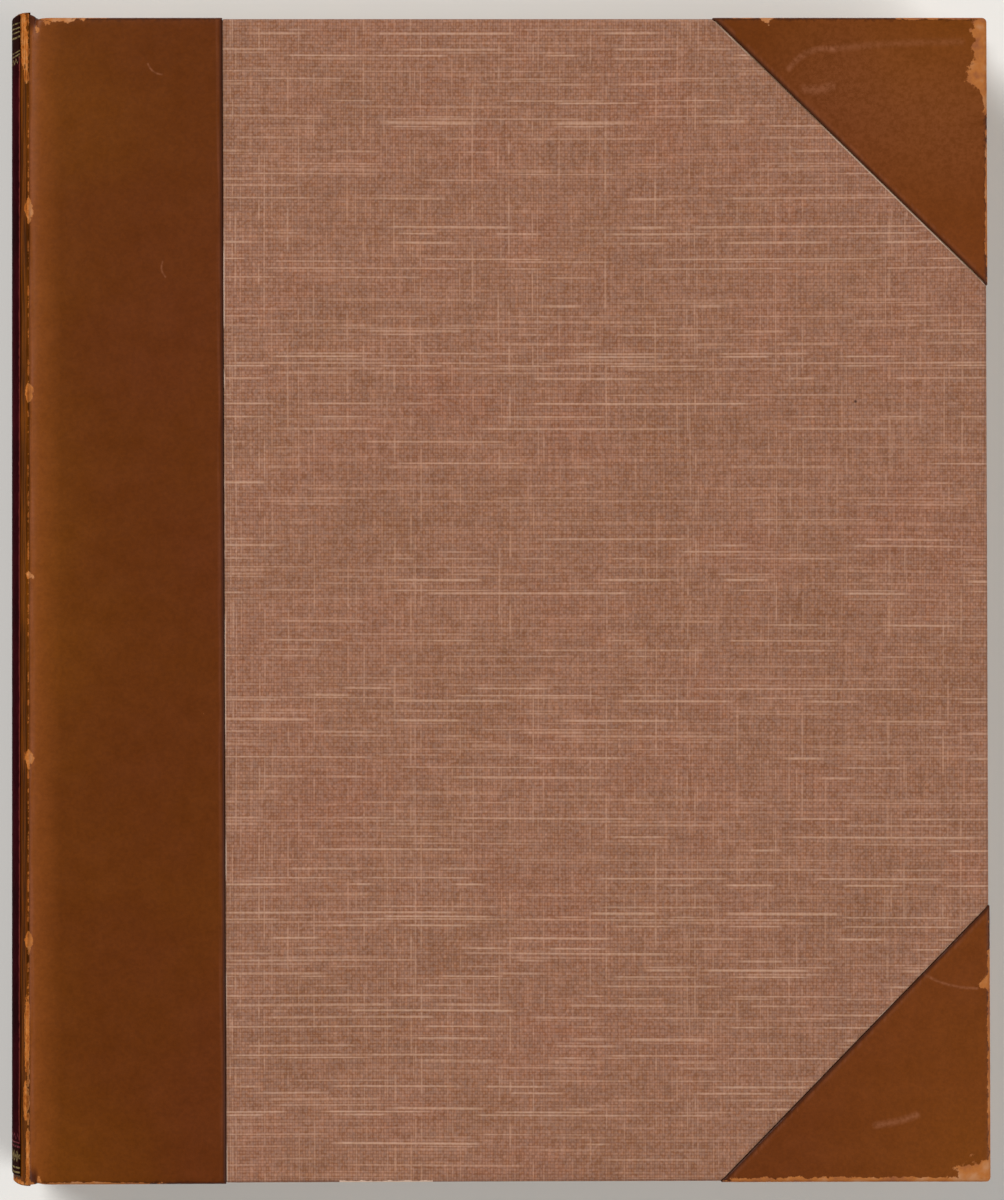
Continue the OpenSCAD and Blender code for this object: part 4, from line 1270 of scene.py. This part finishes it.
def band_tree():
    """Silk wound round an end band, turn beside turn along the rounded back."""
    tree, given = geometry_tree(
        "Silk turns",
        [
            ("Radius", "Float"), ("Half angle", "Float"), ("Thread", "Float"), ("Width", "Float"),
            ("Height", "Float"), ("Turns", "Int"), ("Silk", "Material"),
        ],
    )
    sweep = add(tree, "ShaderNodeMath", {0: given["Half angle"], 1: 2.0}, operation="MULTIPLY")
    start = add(tree, "ShaderNodeMath", {0: math.pi, 1: given["Half angle"]}, operation="SUBTRACT")
    arc = add(
        tree, "GeometryNodeCurveArc",
        {"Resolution": 64, "Radius": given["Radius"], "Start Angle": start, "Sweep Angle": sweep},
    )
    points = add(tree, "GeometryNodeCurveToPoints", {"Curve": arc, "Count": given["Turns"]}, mode="COUNT")
    loop = add(tree, "GeometryNodeCurvePrimitiveCircle", {"Resolution": 14, "Radius": 0.5})
    size = add(tree, "ShaderNodeCombineXYZ", {"X": given["Width"], "Y": given["Height"], "Z": 1.0})
    loop = add(tree, "GeometryNodeTransform", {"Geometry": loop, "Scale": size})
    half = add(tree, "ShaderNodeMath", {0: given["Thread"], 1: 0.5}, operation="MULTIPLY")
    strand = add(tree, "GeometryNodeCurvePrimitiveCircle", {"Resolution": 6, "Radius": half})
    turn = add(tree, "GeometryNodeCurveToMesh", {"Curve": loop, "Profile Curve": strand})
    turns = add(
        tree, "GeometryNodeInstanceOnPoints",
        {"Points": points.outputs["Points"], "Instance": turn, "Rotation": points.outputs["Rotation"]},
    )
    # Two turns of one silk, then two of the other
    number = add(tree, "GeometryNodeInputIndex")
    pair = add(tree, "ShaderNodeMath", {0: number, 1: 0.25}, operation="MULTIPLY")
    pair = add(tree, "ShaderNodeMath", {0: pair}, operation="FRACT")
    pale = add(tree, "ShaderNodeMath", {0: pair, 1: 0.45}, operation="GREATER_THAN")
    turns = add(
        tree, "GeometryNodeStoreNamedAttribute", {"Geometry": turns, "Name": "pale", "Value": pale},
        domain="INSTANCE", data_type="FLOAT",
    )
    done = add(tree, "GeometryNodeRealizeInstances", {0: turns})
    done = add(tree, "GeometryNodeSetMaterial", {"Geometry": done, "Material": given["Silk"]})
    add(tree, "NodeGroupOutput", {0: done})
    return tree


def silk_material(name, with_stripes):
    """Twisted silk in two faded colours: a soft gloss on round strands, dusty in the hollows."""
    material, tree, coords = new_material(name)
    dust = add(tree, "ShaderNodeTexNoise", {"Vector": coords, "Scale": 600.0, "Detail": 4.0})
    colour = linear("#7A4A32")
    if with_stripes:
        pale = add(tree, "ShaderNodeAttribute", attribute_name="pale").outputs["Fac"]
        colour = add(
            tree, "ShaderNodeMix", {0: pale, 6: linear("#7E3A2A"), 7: linear("#B99A6B")}, data_type="RGBA"
        )
    tone = add(tree, "ShaderNodeMapRange", {0: dust, 1: 0.3, 2: 0.7, 3: 0.6, 4: 1.1})
    colour = add(tree, "ShaderNodeMix", {0: 1.0, 6: colour, 7: tone}, data_type="RGBA", blend_type="MULTIPLY")
    inputs = {"Base Color": colour, "Roughness": 0.55, "Sheen Weight": 0.2, "Specular IOR Level": 0.35}
    finish_material(tree, dust, 0.4, 0.1, inputs)
    return material


class BOOK_OT_bands(bpy.types.Operator):
    """Silk turns on the end bands at head and tail"""

    bl_idname = "book.bands"
    bl_label = "End bands"

    def execute(self, context):
        settings = context.scene.book_leaves
        silk = silk_material("twisted_silk", True)
        core = silk_material("silk_core", False)
        tree = band_tree()
        for end in ("head", "tail"):
            lo, hi = box(f"{end}_band")
            # The band follows the block's rounded back, which rises 2.6 mm, and its middle lies 0.8 mm inside
            half, rise, depth = BLOCK_HI.z - MID_Z, 2.6, 0.8
            # The silk goes round the band with this room
            wide, high = 0.3, 0.16
            back_r = (half**2 + rise**2) / (2 * rise)
            centre_x = BLOCK_LO.x + back_r
            radius = back_r - depth
            angle = math.asin((hi.z - lo.z) / 2 / back_r)
            height = hi.y - lo.y
            turns = int(2 * angle * radius / settings.thread)
            wraps = grown(
                f"silk_{end}_band", tree, Radius=radius, Half_angle=angle, Thread=settings.thread,
                Width=2 * depth + wide - settings.thread, Height=height + high - settings.thread, Turns=turns,
                Silk=silk,
            )
            middle_y = (lo.y + hi.y) / 2
            co = np.zeros(len(wraps.data.vertices) * 3)
            wraps.data.vertices.foreach_get("co", co)
            co = co.reshape(-1, 3)
            placed = np.stack([centre_x + co[:, 0], middle_y + co[:, 2], MID_Z + co[:, 1]], axis=1) * MM
            wraps.data.vertices.foreach_set("co", placed.ravel())
            wraps.data.flip_normals()
            wraps.data.shade_smooth()
            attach(wraps, "leaves")
            finish_node(f"{end}_band", core)
        return {"FINISHED"}


# Hidden pieces


def fibre_material(name, light, dark, grain_mm, stretch):
    """Fibrous stuff, such as pulp board, kraft paper, mull or hemp: matt, with fibres of the given width."""
    material, tree, coords = new_material(name)
    lie = add(tree, "ShaderNodeVectorMath", {0: coords, 1: stretch}, operation="MULTIPLY")
    fibre = add(
        tree, "ShaderNodeTexNoise",
        {"Vector": lie, "Scale": 1000.0 / grain_mm, "Detail": 6.0, "Roughness": 0.7},
    )
    cloud = add(tree, "ShaderNodeTexNoise", {"Vector": coords, "Scale": 60.0, "Detail": 3.0})
    both = add(tree, "ShaderNodeMath", {0: cloud, 1: 0.4, 2: fibre}, operation="MULTIPLY_ADD")
    colour = add(tree, "ShaderNodeValToRGB", {0: both}, stops=[(0.55, dark), (0.85, light)])
    finish_material(
        tree, fibre, 0.6, 0.2, {"Base Color": colour, "Roughness": 0.9, "Specular IOR Level": 0.15}
    )
    return material


class BOOK_OT_inside(bpy.types.Operator):
    """Finishes of the boards, cords, lining and tube"""

    bl_idname = "book.inside"
    bl_label = "Inside"

    def execute(self, context):
        board = fibre_material("grey_pulp_board", "#B49E74", "#84704C", 1.6, (1, 1, 1))
        mull = fibre_material("mull_and_paper", "#BFA67A", "#8A6B42", 0.9, (1, 0.3, 1))
        kraft = fibre_material("kraft_tube", "#B08D5C", "#8A6638", 1.2, (1, 0.4, 1))
        hemp = fibre_material("hemp_cord", "#C9B48A", "#8F774C", 0.5, (0.25, 1, 1))
        finishes = {
            "board": board, "spine_lining": mull, "hollow_tube": kraft, "sewing_cord": hemp, "slip": hemp
        }
        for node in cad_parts:
            for key, material in finishes.items():
                if key in node and "leather" not in node:
                    finish_node(node, material)
        return {"FINISHED"}


# Stage


def floor_material(settings):
    """Matt pale floor that a cover may lie on or turn through."""
    material, tree, coords = new_material("pale_floor")
    # Seen from below the floor is clear, and so it is to the cover that lies on it, which would be black
    matt = add(tree, "ShaderNodeBsdfDiffuse", {"Color": settings.floor})
    clear = add(tree, "ShaderNodeBsdfTransparent")
    side = add(tree, "ShaderNodeNewGeometry")
    path = add(tree, "ShaderNodeLightPath")
    touching = add(
        tree, "ShaderNodeMath", {0: path.outputs["Ray Length"], 1: 0.005}, operation="LESS_THAN"
    )
    seen_through = add(
        tree, "ShaderNodeMath", {0: side.outputs["Backfacing"], 1: touching}, operation="MAXIMUM"
    )
    # Far from the book and its lamps the camera sees the floor fade into the backdrop
    away = add(tree, "ShaderNodeVectorMath", {0: coords}, operation="LENGTH").outputs["Value"]
    away = add(tree, "ShaderNodeMapRange", {0: away, 1: 0.7, 2: 2.4})
    away = add(tree, "ShaderNodeMath", {0: away, 1: path.outputs["Is Camera Ray"]}, operation="MULTIPLY")
    haze = add(tree, "ShaderNodeEmission", {"Color": settings.backdrop, "Strength": 1.0})
    matt = add(tree, "ShaderNodeMixShader", {0: away, 1: matt, 2: haze})
    surface = add(tree, "ShaderNodeMixShader", {0: seen_through, 1: matt, 2: clear})
    add(tree, "ShaderNodeOutputMaterial", {"Surface": surface})
    return material


def studio_world(settings):
    """Even light all round, behind which the camera sees a pale backdrop."""
    world = bpy.data.worlds.new("studio")
    world.use_nodes = True
    world.node_tree.nodes.clear()
    tree = world.node_tree
    path = add(tree, "ShaderNodeLightPath")
    glow = add(tree, "ShaderNodeBackground", {"Color": linear("#F4F2EF"), "Strength": settings.world})
    backdrop = add(tree, "ShaderNodeBackground", {"Color": settings.backdrop, "Strength": 1.0})
    seen = add(tree, "ShaderNodeMixShader", {0: path.outputs["Is Camera Ray"], 1: glow, 2: backdrop})
    add(tree, "ShaderNodeOutputWorld", {"Surface": seen})
    return world


class BOOK_OT_stage(bpy.types.Operator):
    """Pale floor, soft light and the camera straight above the book"""

    bl_idname = "book.stage"
    bl_label = "Stage"

    def execute(self, context):
        settings = context.scene.book_stage
        scene = context.scene
        # The floor reaches 12 m each way, far past where it has faded into the backdrop
        mesh = bpy.data.meshes.new("floor")
        half = 12
        mesh.from_pydata(
            [(-half, -half, 0), (half, -half, 0), (half, half, 0), (-half, half, 0)], [], [(0, 1, 2, 3)]
        )
        mesh.materials.append(floor_material(settings))
        floor = bpy.data.objects.new("floor", mesh)
        scene.collection.objects.link(floor)

        # Both soft boxes stand low enough that the flat covers don't mirror them up to the camera
        for name, place, size, power in (
            ("soft_box", (-1.9, 1.6, 1.9), 2.2, settings.key),
            ("fill_box", (2.3, -1.2, 1.9), 2.6, settings.fill),
        ):
            lamp = bpy.data.lights.new(name, "AREA")
            lamp.shape, lamp.size, lamp.energy = "DISK", size, power
            holder = bpy.data.objects.new(name, lamp)
            holder.location = place
            holder.rotation_mode = "QUATERNION"
            holder.rotation_quaternion = (-holder.location).to_track_quat("-Z", "Y")
            scene.collection.objects.link(holder)

        scene.world = studio_world(settings)
        lens = bpy.data.cameras.new("camera")
        lens.sensor_width, lens.lens = 36.0, 137.5
        lens.clip_end = 20
        camera = bpy.data.objects.new("camera", lens)
        # The photograph's middle is just beside the book's
        camera.location = (0.0013, -0.00055, settings.camera_height)
        scene.collection.objects.link(camera)
        scene.camera = camera
        scene.view_settings.view_transform = "Standard"
        return {"FINISHED"}


class BOOK_PT_panel(bpy.types.Panel):
    """Settings and steps of the book"""

    bl_idname = "BOOK_PT_panel"
    bl_label = "Half-leather book"
    bl_space_type = "VIEW_3D"
    bl_region_type = "UI"
    bl_category = "Book"

    def draw(self, context):
        for name, group in SETTINGS.items():
            column = self.layout.column()
            for key in group.__annotations__:
                column.prop(getattr(context.scene, name), key)
        for operator in OPERATORS:
            self.layout.operator(operator.bl_idname)


SETTINGS = {
    "book_calf": CalfSettings,
    "book_cloth": ClothSettings,
    "book_leaves": LeavesSettings,
    "book_stage": StageSettings,
}
OPERATORS = [
    BOOK_OT_calf, BOOK_OT_cloth, BOOK_OT_label, BOOK_OT_leaves, BOOK_OT_bands, BOOK_OT_inside, BOOK_OT_stage
]


def register():
    """Registers the settings, the operators and the panel."""
    for item in [*SETTINGS.values(), *OPERATORS, BOOK_PT_panel]:
        bpy.utils.register_class(item)
    for name, group in SETTINGS.items():
        setattr(bpy.types.Scene, name, bpy.props.PointerProperty(type=group))


def unregister():
    """Takes them back in the opposite order."""
    for name in SETTINGS:
        delattr(bpy.types.Scene, name)
    for item in [BOOK_PT_panel, *reversed(OPERATORS), *reversed(SETTINGS.values())]:
        bpy.utils.unregister_class(item)


def main():
    """Makes the book and its stage."""
    register()
    for operator in OPERATORS:
        group, step = operator.bl_idname.split(".")
        getattr(getattr(bpy.ops, group), step)()


if __name__ == "__main__":
    main()
